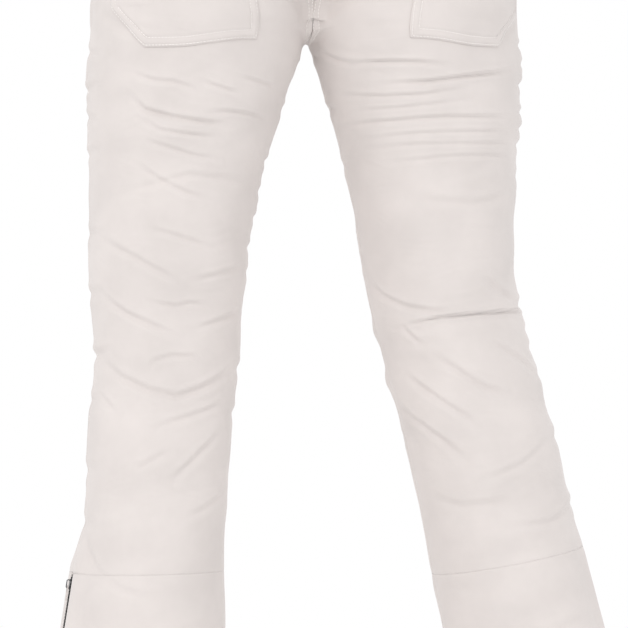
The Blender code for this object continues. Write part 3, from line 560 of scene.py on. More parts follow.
def crease(leg, across, heights, depth, width, path):
    """What one crease adds to the shell, in metres, at places (metres along the row, height)."""
    depth, width = depth / 1000, width / 1000
    path = np.array(path)
    knots = np.stack([path[:, 0] * leg.length(path[:, 1]), path[:, 1]], 1)
    lengths = np.linalg.norm(np.diff(knots, axis=0), axis=1)
    before, whole = np.concatenate([[0], np.cumsum(lengths)]), lengths.sum()
    nearest = np.full(across.shape, 1.0)
    signed = np.zeros(across.shape)
    along = np.zeros(across.shape)
    for start, end, length, passed in zip(knots, knots[1:], lengths, before):
        way = (end - start) / length
        da, dh = across - start[0], heights - start[1]
        t = np.clip(da * way[0] + dh * way[1], 0, length)
        ex, ey = da - t * way[0], dh - t * way[1]
        away = np.hypot(ex, ey)
        near = away < nearest
        nearest = np.where(near, away, nearest)
        signed = np.where(near, np.where(ey >= 0, away, -away), signed)
        along = np.where(near, passed + t, along)
    place = along / whole
    taper = smooth_step(np.minimum(place, 1 - place) / 0.34)
    taper = (0.12 + 0.88 * taper) * bell(np.maximum(nearest - 2.2 * width, 0) / (1.6 * width))
    sharpness = 0.72 * width * (1.25 - 0.35 * taper)
    return depth * taper * profile(signed, sharpness)


def packets(seed, count, shares, lengths, waves, levels, sizes):
    """Short runs of fine ripples at random places: share, height, direction, length, wavelength, size and
    phase."""
    rng = np.random.default_rng(seed)
    found = []
    for _ in range(count):
        found.append((rng.uniform(*shares), rng.uniform(*levels), rng.normal(0, 0.32), rng.uniform(*lengths),
                      rng.uniform(*waves), rng.uniform(*sizes), rng.uniform(0, 6.28)))
    return found


SIDE_SEED = {"left": 11, "right": 47}
BACK_SEED = 3
# Groups of ripples: their count, then ranges of share, length, wavelength, height and size (millimetres).
RIPPLES = [
    (30, (0.05, 0.95), (0.020, 0.055), (0.014, 0.030), (0.03, 0.90), (0.12, 0.36)),
    (26, (0.1, 0.9), (0.045, 0.10), (0.040, 0.090), (0.03, 0.92), (0.60, 1.50)),
    (60, (0.02, 0.98), (0.010, 0.026), (0.006, 0.012), (0.30, 0.78), (0.06, 0.16)),
]

# How far from a crease's path it is worked out, and how the relief fades at the edges of a panel.
CREASE_MARGIN = 0.045
RELIEF_LIMITS = (-0.0048, 0.0042)
SEAM_FADE = 0.014
CALF_FADE = 0.016
TOP_FADE = 0.05
HEM_FADE = 0.05
ZIP_CALM = (0.019, 0.022)
ZIP_SINK = 0.0012
SINK_EDGE = (0.0066, 0.0075)
# The fill over the hollow under the seat: depth, half width, and height above the crotch, which is also
# its half height.
FILL_DEPTH = 0.0045
FILL_HALF = 0.013
FILL_ABOVE = 0.030


def ripples(side, way, across, heights, length):
    seed = SIDE_SEED[side] + (BACK_SEED if way > 0 else 0)
    total = np.zeros(across.shape)
    for number, group in enumerate(RIPPLES):
        for share, height, turn, reach, wave, size, phase in packets(seed + number, *group):
            da, dh = across - share * length, heights - height
            u = da * math.cos(turn) + dh * math.sin(turn)
            v = -da * math.sin(turn) + dh * math.cos(turn)
            window = np.exp(-((u / reach) ** 2) - ((v / (wave * 1.3)) ** 2))
            total += size / 1000 * window * np.cos(2 * math.pi * v / wave + phase + 18 * u * math.sin(phase))
    return total


def beside_zips(side, across, heights):
    """What the zips leave of the folds near them, and how far above or below the nearest a place lies."""
    calm, least = np.ones_like(across), np.ones_like(across)
    for found in ZIPS.values():
        if found["side"] == side:
            away = np.maximum(np.maximum(found["bottom"] - heights, heights - found["top"]), 0)
            calm = np.minimum(calm, smooth_step((np.hypot(across, away) - ZIP_CALM[0]) / ZIP_CALM[1]))
            least = np.minimum(least, away)
    return calm, least


def relief(side, way, across, heights):
    """How far the shell's cloth stands out of its smooth shape, in metres."""
    leg = LEGS[side, way]
    length = leg.length(heights)
    total = ripples(side, way, across, heights, length)
    for depth, width, path in BACK_CREASES[side] + EASY_CREASES if way > 0 else FRONT_CREASES:
        levels = [h for _, h in path]
        rows = (heights > min(levels) - CREASE_MARGIN) & (heights < max(levels) + CREASE_MARGIN)
        if rows.any():
            total[rows] += crease(leg, across[rows], heights[rows], depth, width, path)
    seams = smooth_step(np.minimum(across, length - across) / SEAM_FADE)
    calf = 0.35 + 0.65 * smooth_step(abs(heights - CALF_SEAM[side]) / CALF_FADE)
    top = smooth_step((YOKE_SEAM + 0.012 - heights) / TOP_FADE) * 0.85 + 0.15
    hem = smooth_step((heights - HEM[side]) / HEM_FADE) * 0.75 + 0.25
    calm, zip_away = beside_zips(side, across, heights)
    below_crotch = smooth_step((CROTCH - 0.004 - heights) / 0.012)
    total = total * seams + fold_relief(SIDE_FOLDS[side], across, heights, way)
    total += fold_relief(INNER_FOLDS[side], np.maximum(length - across, 0), heights, way) * below_crotch
    total = np.clip(total, *RELIEF_LIMITS) * calf * top * hem * calm
    if way > 0:
        above = heights - CROTCH
        spanned = bell((length - across) / FILL_HALF) * bell((above - FILL_ABOVE) / FILL_ABOVE)
        total += FILL_DEPTH * spanned * smooth_step((above + 0.012) / 0.02)
    sunk = (1 - smooth_step((across - SINK_EDGE[0]) / SINK_EDGE[1])) * (1 - smooth_step(zip_away / 0.003))
    return total - ZIP_SINK * sunk


def raised(side, way, distances, heights, out):
    """Points and normals of the creased shell at places given one by one, moved out by a distance."""
    leg = LEGS[side, way]
    distances, heights = np.asarray(distances, float), np.asarray(heights, float)
    points = leg.places(distances[:, None], heights)[:, 0]
    normals = normals_of(points)
    out = np.asarray(out, float) + relief(side, way, distances, heights)
    return points + normals * out[:, None] + ROOT_DROP, normals


# ---------------------------------------------------------------- materials

def linear(*values):
    return tuple(((v / 255 + 0.055) / 1.055) ** 2.4 if v > 10 else v / 255 / 12.92 for v in values) + (1,)


CLOTH_COLOUR = linear(214, 207, 204)
TINT = {
    "shell": (CLOTH_COLOUR, 0.80, 0.00055, 0.10),
    "thread": (linear(242, 238, 235), 0.55, 0.0004, 0.0),
    "lining": (linear(206, 202, 200), 0.55, 0.0006, 0.06),
    "tape": (linear(204, 196, 192), 0.75, 0.0007, 0.14),
    "elastic": (linear(40, 40, 42), 0.80, 0.0012, 0.20),
}


def add_node(tree, kind, **values):
    node = tree.nodes.new(kind)
    for name, value in values.items():
        if name in node.inputs.keys():
            node.inputs[name].default_value = value
        else:
            setattr(node, name, value)
    return node


def wire(tree, output, socket):
    tree.links.new(output, socket)


def math_node(tree, operation, *inputs):
    """The result of a Math node, whose inputs are numbers or other nodes' outputs."""
    node = add_node(tree, "ShaderNodeMath", operation=operation)
    for socket, value in zip(node.inputs, inputs):
        if isinstance(value, float):
            socket.default_value = value
        else:
            wire(tree, value, socket)
    return node.outputs[0]


def new_material(name):
    made = bpy.data.materials.new(name)
    made.use_nodes = True
    return made, made.node_tree, made.node_tree.nodes["Principled BSDF"]


def add_gloss(tree, shader, noise, roughness, spread):
    gloss = add_node(tree, "ShaderNodeMapRange")
    gloss.inputs["To Min"].default_value = roughness - spread
    gloss.inputs["To Max"].default_value = roughness + spread
    wire(tree, noise.outputs["Fac"], gloss.inputs["Value"])
    wire(tree, gloss.outputs["Result"], shader.inputs["Roughness"])


def add_bump(tree, shader, height, strength, distance):
    bump = add_node(tree, "ShaderNodeBump", Strength=strength, Distance=distance)
    wire(tree, height, bump.inputs["Height"])
    wire(tree, bump.outputs[0], shader.inputs["Normal"])


def cloth_material(name, colour, roughness, pitch, strength):
    """Woven cloth: fine crossed threads as a bump, and a slight unevenness of colour and gloss."""
    made, tree, shader = new_material(name)
    shader.inputs["Sheen Weight"].default_value = 0.22
    shader.inputs["Specular IOR Level"].default_value = 0.25
    place = add_node(tree, "ShaderNodeAttribute", attribute_name="cloth")
    split = add_node(tree, "ShaderNodeSeparateXYZ")
    wire(tree, place.outputs["Vector"], split.inputs[0])
    waves = [math_node(tree, "SINE", math_node(tree, "MULTIPLY", split.outputs[axis], 2 * math.pi / pitch))
             for axis in (0, 1)]
    fuzz = add_node(tree, "ShaderNodeTexNoise", Scale=900.0, Detail=3.0, Roughness=0.6)
    wire(tree, place.outputs["Vector"], fuzz.inputs["Vector"])
    woven = math_node(tree, "MULTIPLY", *waves)
    height = math_node(tree, "MULTIPLY_ADD", woven, 0.5, fuzz.outputs["Fac"])
    add_bump(tree, shader, height, strength, 0.0004)
    patches = add_node(tree, "ShaderNodeTexNoise", Scale=14.0, Detail=4.0, Roughness=0.55)
    wire(tree, place.outputs["Vector"], patches.inputs["Vector"])
    ramp = add_node(tree, "ShaderNodeValToRGB")
    for stop, position, gain in zip(ramp.color_ramp.elements, (0.34, 0.66), (0.955, 1.03)):
        stop.position, stop.color = position, tuple(min(1.0, c * gain) for c in colour[:3]) + (1,)
    wire(tree, patches.outputs["Fac"], ramp.inputs["Fac"])
    wire(tree, ramp.outputs["Color"], shader.inputs["Base Color"])
    add_gloss(tree, shader, fuzz, roughness, 0.06)
    return made


def solid_material(name, colour, roughness, metallic, grain):
    """Moulded plastic or satin metal: its own colour, with a fine unevenness of gloss and surface."""
    made, tree, shader = new_material(name)
    shader.inputs["Base Color"].default_value = colour
    shader.inputs["Metallic"].default_value = metallic
    place = add_node(tree, "ShaderNodeTexCoord")
    noise = add_node(tree, "ShaderNodeTexNoise", Scale=grain, Detail=3.0)
    wire(tree, place.outputs["Object"], noise.inputs["Vector"])
    add_gloss(tree, shader, noise, roughness, 0.08)
    add_bump(tree, shader, noise.outputs["Fac"], 0.08, 0.0002)
    return made


MATERIALS = {name: cloth_material(name, *values) for name, values in TINT.items()}
MATERIALS["teeth"] = solid_material("teeth", (0.010, 0.010, 0.011, 1), 0.38, 0.0, 700)
MATERIALS["slider"] = solid_material("slider", (0.035, 0.035, 0.038, 1), 0.36, 0.7, 500)
MATERIALS["pull"] = solid_material("pull", CLOTH_COLOUR, 0.50, 0.0, 600)
MATERIALS["metal"] = solid_material("metal", (0.62, 0.61, 0.60, 1), 0.30, 1.0, 400)

# ---------------------------------------------------------------- pieces

RIM_BULGE = 0.28
PANEL_GAP = 0.00035
PANEL_STEP = 0.0022
FINE_STEP = 0.0016
MIDDLE_GAP = 0.00018
SEAM_HALF = 0.00005


def finished(name, mesh, material, nodes=(), body="root"):
    thing = bpy.data.objects.new(name, mesh)
    bpy.context.scene.collection.objects.link(thing)
    mesh.materials.append(MATERIALS[material])
    mesh.shade_smooth()
    if body:
        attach(thing, body)
    if nodes:
        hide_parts(*nodes)
    return thing


def skin(outer, inner, chart, closed=False):
    """A closed mesh of two grids of points (rows, columns) and a rim that bulges a little between them."""
    rows, columns = outer.shape[:2]
    size = rows * columns
    index = np.arange(size).reshape(rows, columns)
    here = np.arange(columns if closed else columns - 1)
    right = (here + 1) % columns
    faces = []
    for base, flip in ((0, False), (size, True)):
        a, b = index[:-1][:, here] + base, index[:-1][:, right] + base
        d, e = index[1:][:, here] + base, index[1:][:, right] + base
        faces.append(np.stack([a, d, e, b] if flip else [a, b, e, d], -1).reshape(-1, 4))
    outer, inner, chart = outer.reshape(-1, 3), inner.reshape(-1, 3), chart.reshape(-1, 2)
    points, charts = [outer, inner], [chart, chart]
    rims = [index[0], index[-1]]
    if not closed:
        rims = [np.concatenate([index[0], index[1:, -1], index[-1, -2::-1], index[-2:0:-1, 0]])]
    extra = 2 * size
    for number, rim in enumerate(rims):
        middle, across = (outer[rim] + inner[rim]) / 2, outer[rim] - inner[rim]
        thick = np.linalg.norm(across, axis=1, keepdims=True)
        ahead = np.roll(middle, -1, axis=0) - np.roll(middle, 1, axis=0)
        away = np.cross(ahead, across)
        away /= np.maximum(np.linalg.norm(away, axis=1, keepdims=True), 1e-12)
        if closed:
            inward = outer[index[1 if number == 0 else -2]] - outer[rim]
            away *= np.where((away * inward).sum(1, keepdims=True) > 0, -1, 1)
        else:
            away *= np.sign(((middle - outer.mean(0)) * away).sum(1).mean())
        points.append(middle + away * thick * RIM_BULGE)
        charts.append(chart[rim])
        line = np.arange(len(rim)) + extra
        after = np.roll(np.arange(len(rim)), -1)
        faces.append(np.stack([rim, line, line[after], rim[after]], -1))
        faces.append(np.stack([line, rim + size, (rim + size)[after], line[after]], -1))
        extra += len(rim)
    return np.concatenate(points), np.concatenate(faces), np.concatenate(charts)


def mesh_from(name, points, faces, chart=None):
    mesh = bpy.data.meshes.new(name)
    mesh.from_pydata(points, [], faces if isinstance(faces, list) else faces.tolist())
    if chart is not None:
        held = mesh.attributes.new("cloth", "FLOAT_VECTOR", "POINT")
        held.data.foreach_set("vector", np.pad(chart, ((0, 0), (0, 1))).astype(np.float32).ravel())
    shape = bmesh.new()
    shape.from_mesh(mesh)
    bmesh.ops.recalc_face_normals(shape, faces=shape.faces)
    shape.to_mesh(mesh)
    shape.free()
    return mesh


def sheet(name, outer, inner, chart, nodes, material="shell", slot="shell", closed=False):
    mesh = mesh_from(name, *skin(outer, inner, chart, closed))
    return finished(name, mesh, material, nodes)


def edge_curl(shape, reach, depth):
    """Lowers the cloth towards the four edges of a grid, as a stitched fold does. reach is in cells."""
    rows, columns = shape
    r, c = np.arange(rows)[:, None], np.arange(columns)[None]
    near = np.minimum(np.minimum(r, rows - 1 - r), np.minimum(c, columns - 1 - c))
    return -depth * bell(near / reach)


def panel(name, side, way, top, bottom, start, end=PANEL_GAP, step=PANEL_STEP, layer=(0.0, -0.0016),
          material="shell", slot="shell", creased=1.0, keep_side=False):
    """A panel of cloth between two heights. start(height) is its first distance from the side seam, and
    end is what it leaves free at the inner seam."""
    leg = LEGS[side, way]
    rows = max(4, int((top - bottom) / step) + 1)
    heights = np.linspace(top, bottom, rows)
    low = np.array([start(h) for h in heights])
    high = leg.length(heights) - end
    columns = max(4, int((high - low).max() / step) + 1)
    distances = low[:, None] + np.linspace(0, 1, columns) * (high - low)[:, None]
    points = leg.places(distances, heights)
    normals = normals_of(points)
    levels = np.repeat(heights[:, None], columns, 1)
    rise = creased * relief(side, way, distances, levels) + edge_curl(distances.shape, 1.2, 0.0003)
    outer = points + normals * (layer[0] + rise)[..., None]
    inner = points + normals * (layer[1] + creased * rise)[..., None]
    if keep_side:
        for face in (outer, inner):
            face[..., 0] = SIDES[side] * np.maximum(SIDES[side] * face[..., 0], MIDDLE_GAP)
    chart = np.stack([SIDES[side] * way * distances, levels], -1)
    sheet(name, outer + ROOT_DROP, inner + ROOT_DROP, chart, [name.replace("_cloth", "")], material, slot)


def ring_piece(name, side, heights, columns, out, thick, material="shell", start=0.0, turn=2 * math.pi,
               waves=None):
    """A piece that runs round one leg, or over part of a turn. out(height) is how far outside the shell
    its outer face lies, and waves(turns, heights) what its gathers add."""
    closed = turn >= 2 * math.pi
    turns = np.linspace(start, start + turn, columns + 1)[: columns if closed else None]
    points = []
    for height in heights:
        middle, outward, backward = row_frame(side, height)
        rays = np.cos(turns)[:, None] * outward + np.sin(turns)[:, None] * backward
        points.append(settle(first_crossing(middle, rays)))
    points = np.array(points)
    normals = normals_of(points)
    rise = np.array([out(h) for h in heights])[:, None] * np.ones(points.shape[:2])
    if waves:
        rise = rise + waves(turns[None], heights[:, None])
    outer, inner = points + normals * rise[..., None], points + normals * (rise - thick)[..., None]
    chart = paired(turns[None] * 0.08, heights[:, None])
    node = name.replace("_cloth", "")
    sheet(name, outer + ROOT_DROP, inner + ROOT_DROP, chart, [node], material, material, closed)


# ---------------------------------------------------------------- stitches

STITCH = 0.0027
STITCH_GAP = 0.0007
THREAD = 0.00040
STITCH_SIDES = 6


def even_places(points, pitch):
    """Indices, as fractions, of places a pitch apart along a line of points."""
    along = walked(points)
    count = max(1, int(along[-1] / pitch))
    return [np.interp((np.arange(count) + part) * along[-1] / count, along, np.arange(len(points)))
            for part in (0.0, STITCH / (STITCH + STITCH_GAP))]


def taken(points, places):
    return np.stack([np.interp(places, np.arange(len(points)), points[:, k]) for k in range(3)], 1)


def stitch_mesh(lines):
    """One mesh of small rounded stitches along lines of (points, normals)."""
    shape = [(0.0, 0.15), (0.12, 0.75), (0.5, 1.0), (0.88, 0.75), (1.0, 0.15)]
    n = STITCH_SIDES
    vertices, faces = [], []
    for points, normals in lines:
        first, last = even_places(points, STITCH + STITCH_GAP)
        a, b = taken(points, first), taken(points, last)
        out = taken(normals, (first + last) / 2)
        for start, end, up in zip(a, b, out):
            way = end - start
            length = np.linalg.norm(way)
            if length < 1e-5:
                continue
            way = way / length
            side = np.cross(way, up)
            side /= np.linalg.norm(side)
            up = np.cross(side, way)
            base = len(vertices)
            for place, wide in shape:
                sink = -0.55 * THREAD * (abs(2 * place - 1) ** 3)
                for k in range(n):
                    turn = 2 * math.pi / n * k
                    vertices.append(start + way * place * length + THREAD * wide * (
                        side * math.cos(turn) + up * 0.8 * math.sin(turn)) + up * (0.25 * THREAD + sink))
            for m in range(base, base + n * (len(shape) - 1), n):
                faces += [(m + k, m + (k + 1) % n, m + n + (k + 1) % n, m + n + k) for k in range(n)]
            faces.append(tuple(base + k for k in range(n)))
            faces.append(tuple(base + n * (len(shape) - 1) + k for k in range(n)))
    return np.array(vertices), faces


def sew(name, lines, body="root", nodes=()):
    vertices, faces = stitch_mesh(lines)
    return finished(name, mesh_from(name, vertices, faces, vertices[:, :2]), "thread", nodes, body)


def line_on(side, way, path, out=0.0, step=0.002):
    """Points and normals on the shell along straight runs between (distance, height) places."""
    knots = np.array(path, float)
    along = walked(knots)
    places = np.linspace(0, along[-1], max(2, int(along[-1] / step)))
    distances, heights = (np.interp(places, along, knots[:, k]) for k in (0, 1))
    return raised(side, way, distances, heights, out)


# ---------------------------------------------------------------- back pockets

POCKET_TOP = 0.9400
POCKET_OUTER = ([0.7610, 0.8060, 0.8300, 0.9400], [0.1045, 0.0535, 0.0515, 0.0460])
POCKET_INNER = {
    "left": through([(0.7610, 0.2095), (0.7900, 0.2155), (0.8300, 0.2135), (0.9400, 0.1890)]),
    "right": through([(0.7610, 0.1900), (0.7900, 0.1955), (0.8300, 0.1935), (0.9400, 0.1690)]),
}
# The lower edge's height at its outer end and at its inner end.
POCKET_LOW = {"left": (0.7655, 0.7740), "right": (0.7690, 0.7765)}
POCKET_OUT = 0.0026
POCKET_BEND = 0.806
POCKET_CELLS = (110, 100)
# Depth and half width of a groove, and of the rolled edge.
POCKET_GROOVE = (0.0011, 0.0010)
POCKET_ROLL = (0.0014, 0.0009)
POCKET_FULLNESS = 0.0012
POCKET_UNDER = 0.0003
ROW_INSETS = (0.0018, 0.0088)


def pocket_place(side, across, down, inset=0.0):
    """Distance and height at shares across a pocket from its outer edge and down it, moved inside its
    edge by an inset."""
    lowest, inner_low = POCKET_LOW[side]
    low = lowest + (inner_low - lowest) * smooth_step((across - 0.25) / 0.75)
    height = (POCKET_TOP - inset) + (low + 2 * inset - POCKET_TOP) * down
    outer = np.interp(height, *POCKET_OUTER)
    inner = POCKET_INNER[side](height)[..., 0]
    slope = np.where(height < POCKET_BEND, 1.5, 1.0)
    return outer + inset * slope + (inner - outer - inset * (1 + slope)) * across, height


def pocket_rise(edge):
    """The pocket's own shape above the panel: thick at its double seam, with a groove at each row of
    stitches, and slightly full in its middle. edge is the distance inside its edge."""
    grooves = sum(bell((edge - inset) / POCKET_GROOVE[1]) for inset in ROW_INSETS)
    full = POCKET_FULLNESS * smooth_step((edge - 0.012) / 0.04)
    return POCKET_OUT - POCKET_ROLL[0] * bell(edge / POCKET_ROLL[1]) - POCKET_GROOVE[0] * grooves + full


def add_pocket(side):
    across, down = np.meshgrid(np.linspace(0, 1, POCKET_CELLS[1]), np.linspace(0, 1, POCKET_CELLS[0]))
    a, h = pocket_place(side, across, down)
    points, normals = (v.reshape(*a.shape, 3) for v in raised(side, 1, a.ravel(), h.ravel(), 0.0))
    width = (a[:, -1] - a[:, 0])[:, None]
    slant = np.where(h < POCKET_BEND, 0.65, 1.0)
    sides = np.minimum(across * width * slant, (1 - across) * width)
    ends = np.minimum(POCKET_TOP - h, (1 - down) * (POCKET_TOP - POCKET_LOW[side][0]))
    rise = pocket_rise(np.minimum(sides, ends))
    outer, inner = points + normals * rise[..., None], points + normals * POCKET_UNDER
    chart = np.stack([SIDES[side] * a, h], -1)
    sheet(f"{side}_back_pocket_cloth", outer, inner, chart, [f"{side}_back_pocket"])
    corners = [(0, down) for down in (0, 0.2, 0.4, 0.6, 0.78, 0.86, 0.94, 1)]
    corners += [(across, 1) for across in (0.2, 0.4, 0.6, 0.8)]
    corners += [(1, down) for down in (1, 0.8, 0.6, 0.4, 0.2, 0)]
    lines = []
    for inset in ROW_INSETS:
        path = [pocket_place(side, np.float64(x), np.float64(y), inset) for x, y in corners + corners[:1]]
        lines.append(line_on(side, 1, path, POCKET_OUT - 0.0008))
    sew(f"{side}_back_pocket_stitches", lines)


# ---------------------------------------------------------------- shell, inside and waist

BAND_OUT = 0.0008
BAND_IN = 0.0024
BAND_ROW_INSET = 0.0030
FACING_DEPTHS = (0.0026, 0.0036)
LOOP_RISE = 0.0081
LOOP_HALF = 0.0055
LOOP_ROWS = 61
LOOP_ROW_INSET = 0.0019
TAB_START = 0.0260
TAB_END = 0.0340
TAB_RISE = 0.0048
TAB_CLOTH = 0.0018
# The size of a cell of the tab's cloth, down and across.
TAB_CELL = (0.00164, 0.00086)

def add_leg_pieces(side):
    seam, band = CALF_SEAM[side], WAIST_TOP - BAND_HEIGHT
    for way, label in ((-1, "front"), (1, "back")):
        def slit(height, way=way):
            return zip_edge(side, way, height, SLIT_HALF, PANEL_GAP)

        top = (band if way < 0 else YOKE_SEAM) - PANEL_GAP
        panel(f"{side}_{label}_panel_cloth", side, way, top, seam + SEAM_HALF, slit,
              step=FINE_STEP if way > 0 else PANEL_STEP, keep_side=True)
        panel(f"{side}_lower_{label}_panel_cloth", side, way, seam - SEAM_HALF, HEM[side], slit)
    panel(f"{side}_yoke_cloth", side, 1, band - PANEL_GAP, YOKE_SEAM + PANEL_GAP,
          lambda h: zip_edge(side, 1, h, SLIT_HALF, PANEL_GAP), step=0.0026, keep_side=True)
    add_pocket(side)


def add_inside(side):
    seam, hem = CALF_SEAM[side], HEM[side]
    top, bottom = seam - 0.001, hem + 0.046

    def gathers(turns, heights):
        low = smooth_step((bottom + 0.05 - heights) / 0.05)
        puffs = 0.0011 * np.sin(23 * turns + 3 * np.sin(2 * turns)) * low
        return puffs + 0.0008 * np.sin(9 * turns + 60 * heights) * (1 - low)

    ring_piece(side + "_gaiter_cloth", side, np.linspace(top, bottom, 60), 180,
               lambda h: -np.interp(seam - h, (0, 0.08), (0.0075, 0.0195)), 0.0008, "lining", waves=gathers)
    ring_piece(side + "_gaiter_elastic_cloth", side, np.linspace(hem + 0.062, hem + 0.040, 26), 180,
               lambda h: -0.0214, 0.0014, "elastic",
               waves=lambda turns, heights: 0.00022 * np.cos(2 * math.pi * heights / 0.0022))
    ring_piece(side + "_ankle_gusset_cloth", side, np.linspace(seam - 0.002, hem + 0.034, 90), 26,
               lambda h: -0.0056, 0.0008, start=SIDE_SEAM_TURN - math.radians(17), turn=math.radians(34),
               waves=lambda turns, heights: 0.0006 * np.sin(heights * 260 + 4 * turns))
    ring_piece(side + "_scuff_guard_cloth", side, np.linspace(hem + 0.115, hem + 0.002, 56), 70,
               lambda h: 0.0016, 0.0013, start=math.radians(134), turn=math.radians(92))
    add_facing(side, hem)
    panel(side + "_pocket_bag_cloth", side, -1, HAND_ZIP[0], 0.800, lambda h: 0.015, 0.118, step=0.004,
          layer=(-0.0062, -0.0070), material="lining", slot="lining", creased=0.4)


def add_facing(side, hem):
    heights = np.linspace(hem + 0.030, hem + 0.0005, 14)
    halves = []
    for way in (-1, 1):
        leg = LEGS[side, way]
        low = np.array([zip_edge(side, way, h, FLAT_HALF, 0.0) for h in heights])
        distances = low[:, None] + np.linspace(0, 1, 90) * (leg.length(heights) - low)[:, None]
        halves.append(leg.places(distances, heights))
    points = np.concatenate([halves[0], halves[1][:, -2::-1]], axis=1)
    normals = normals_of(points)
    chart = paired(np.arange(points.shape[1])[None] * 0.0024, heights[:, None])
    outer, inner = (points - normals * depth + ROOT_DROP for depth in FACING_DEPTHS)
    sheet(side + "_hem_facing_cloth", outer, inner, chart, [side + "_hem_facing"])


def waist_line(height, out, gap=0.0003, count=150):
    """Points right round the waist at a height, from the left of the fly to its right, and normals."""
    halves = []
    for side in SIDES:
        front, back = LEGS[side, -1], LEGS[side, 1]
        lengths = [leg.length([height])[0] for leg in (front, back)]
        distances = np.linspace(0, lengths[0] - gap, count)
        ahead = front.places(distances[None], [height])[0]
        behind = back.places(np.linspace(0, lengths[1], count)[None], [height])[0]
        halves.append(np.concatenate([ahead[:0:-1], behind]))
    points = np.concatenate([halves[0], halves[1][-2::-1]])
    normals = normals_of(points)
    return points + normals * out + ROOT_DROP, normals


def add_waistband():
    top, bottom = WAIST_TOP, WAIST_TOP - BAND_HEIGHT + 0.0003
    heights = np.linspace(top, bottom, 24)
    found = [waist_line(h, 0.0) for h in heights]
    points, normals = (np.array([f[k] for f in found]) for k in (0, 1))
    along = walked(points[0])
    levels = heights[:, None] * np.ones(len(along))
    below_top, above_bottom = top - levels, levels - bottom
    pucker = 0.00022 * np.sin(along * 2 * math.pi / 0.009 + 5 * np.sin(along * 31))[None]
    near_rows = sum(bell((edge - 0.005) / 0.004) for edge in (below_top, above_bottom))
    groove = sum(bell((edge - BAND_ROW_INSET) / 0.0008) for edge in (below_top, above_bottom))
    rise = BAND_OUT + pucker * near_rows - 0.0004 * groove + edge_curl(levels.shape, 1.0, 0.0007)
    outer, inner = points + normals * rise[..., None], points - normals * BAND_IN
    sheet("waistband_cloth", outer, inner, paired(along[None], levels), ["waistband"])
    on_band = BAND_OUT - 0.00025
    rows = ((top - BAND_ROW_INSET, on_band), (bottom + BAND_ROW_INSET, on_band), (bottom - BAND_ROW_INSET, 0.0))
    sew("waist_stitches", [waist_line(h, out) for h, out in rows])


def waist_place(share, side, height):
    front, back = (LEGS[side, way].length([height])[0] for way in (-1, 1))
    distance = share * (front + back)
    way, along = (-1, front - distance) if distance < front else (1, distance - front)
    return LEGS[side, way].places(np.array([[along]]), [height])[0, 0]


def placed(matrix, points):
    """Points of a local frame in the root's frame."""
    turn, place = np.array(matrix.to_3x3()), np.array(matrix.translation) + ROOT_DROP
    return np.asarray(points, float) @ turn.T + place


def add_belt_loop(name, share, side):
    ends = [waist_place(share, side, h) for h in (WAIST_TOP - 0.003, WAIST_TOP - BAND_HEIGHT - 0.008)]
    matrix = frame_between(*ends, normals_of(np.array(ends)).sum(0))
    length = float(np.linalg.norm(ends[1] - ends[0]))
    matrix.translation += 0.0008 * matrix.col[2].to_3d()
    rise, half = LOOP_RISE, LOOP_HALF
    half_path = [(0.0006, 0.0004), (0.0002, 0.0030), (0.0008, 0.0062), (0.0032, rise - 0.0006), (0.009, rise)]
    path = np.array(half_path + [(length / 2, rise + 0.0003)] + [(length - y, z) for y, z in half_path[::-1]])
    knots = np.arange(len(path))
    line = np.stack([np.interp(np.linspace(0, knots[-1], LOOP_ROWS), knots, path[:, k]) for k in (0, 1)], 1)
    across = np.linspace(-half, half, 15)
    ahead = np.gradient(line, axis=0)
    out = np.stack([-ahead[:, 1], ahead[:, 0]], 1) / np.linalg.norm(ahead, axis=1, keepdims=True)
    folded = 0.00035 * bell((abs(across) - half + 0.0002) / 0.0006)
    groove = 0.00022 * bell((abs(across) - half + LOOP_ROW_INSET) / 0.00045)
    faces = []
    for thick in (0.0007 - folded - groove, np.full(len(across), -0.0006)):
        faces.append(placed(matrix, [np.stack([across, y + oy * thick, z + oz * thick], 1)
                                     for (y, z), (oy, oz) in zip(line, out)]))
    chart = paired(across[None], np.arange(LOOP_ROWS)[:, None] * 0.0009)
    sheet(name + "_cloth", *faces, chart, [name])
    rows = []
    for x in (LOOP_ROW_INSET - half, half - LOOP_ROW_INSET):
        y, z = line[12:-12].T
        rows.append(np.stack([x + 0 * y, y, z + 0.0006], 1))
    for y in (0.0045, length - 0.0045):
        rows.append(np.stack([np.linspace(-half + 0.001, half - 0.001, 90), y + 0.0007 * np.tile([1, -1], 45),
                              np.full(90, rise + 0.00035)], 1))
    normal = np.array(matrix.to_3x3())[:, 2]
    sew(name + "_stitches", [(placed(matrix, points), np.tile(normal, (len(points), 1))) for points in rows])


def tab_line(height, out, count=70, inset=0.0):
    left, right = LEGS["left", -1], LEGS["right", -1]
    start, middle = left.length([height])[0], right.length([height])[0]
    first = np.linspace(start - TAB_START + inset, start, count // 2)
    last = np.linspace(middle, middle - TAB_END + inset, count // 2 + 1)[1:]
    points = np.concatenate([left.places(first[None], [height])[0], right.places(last[None], [height])[0]])
    normals = normals_of(points)
    return points + normals * out + ROOT_DROP, normals


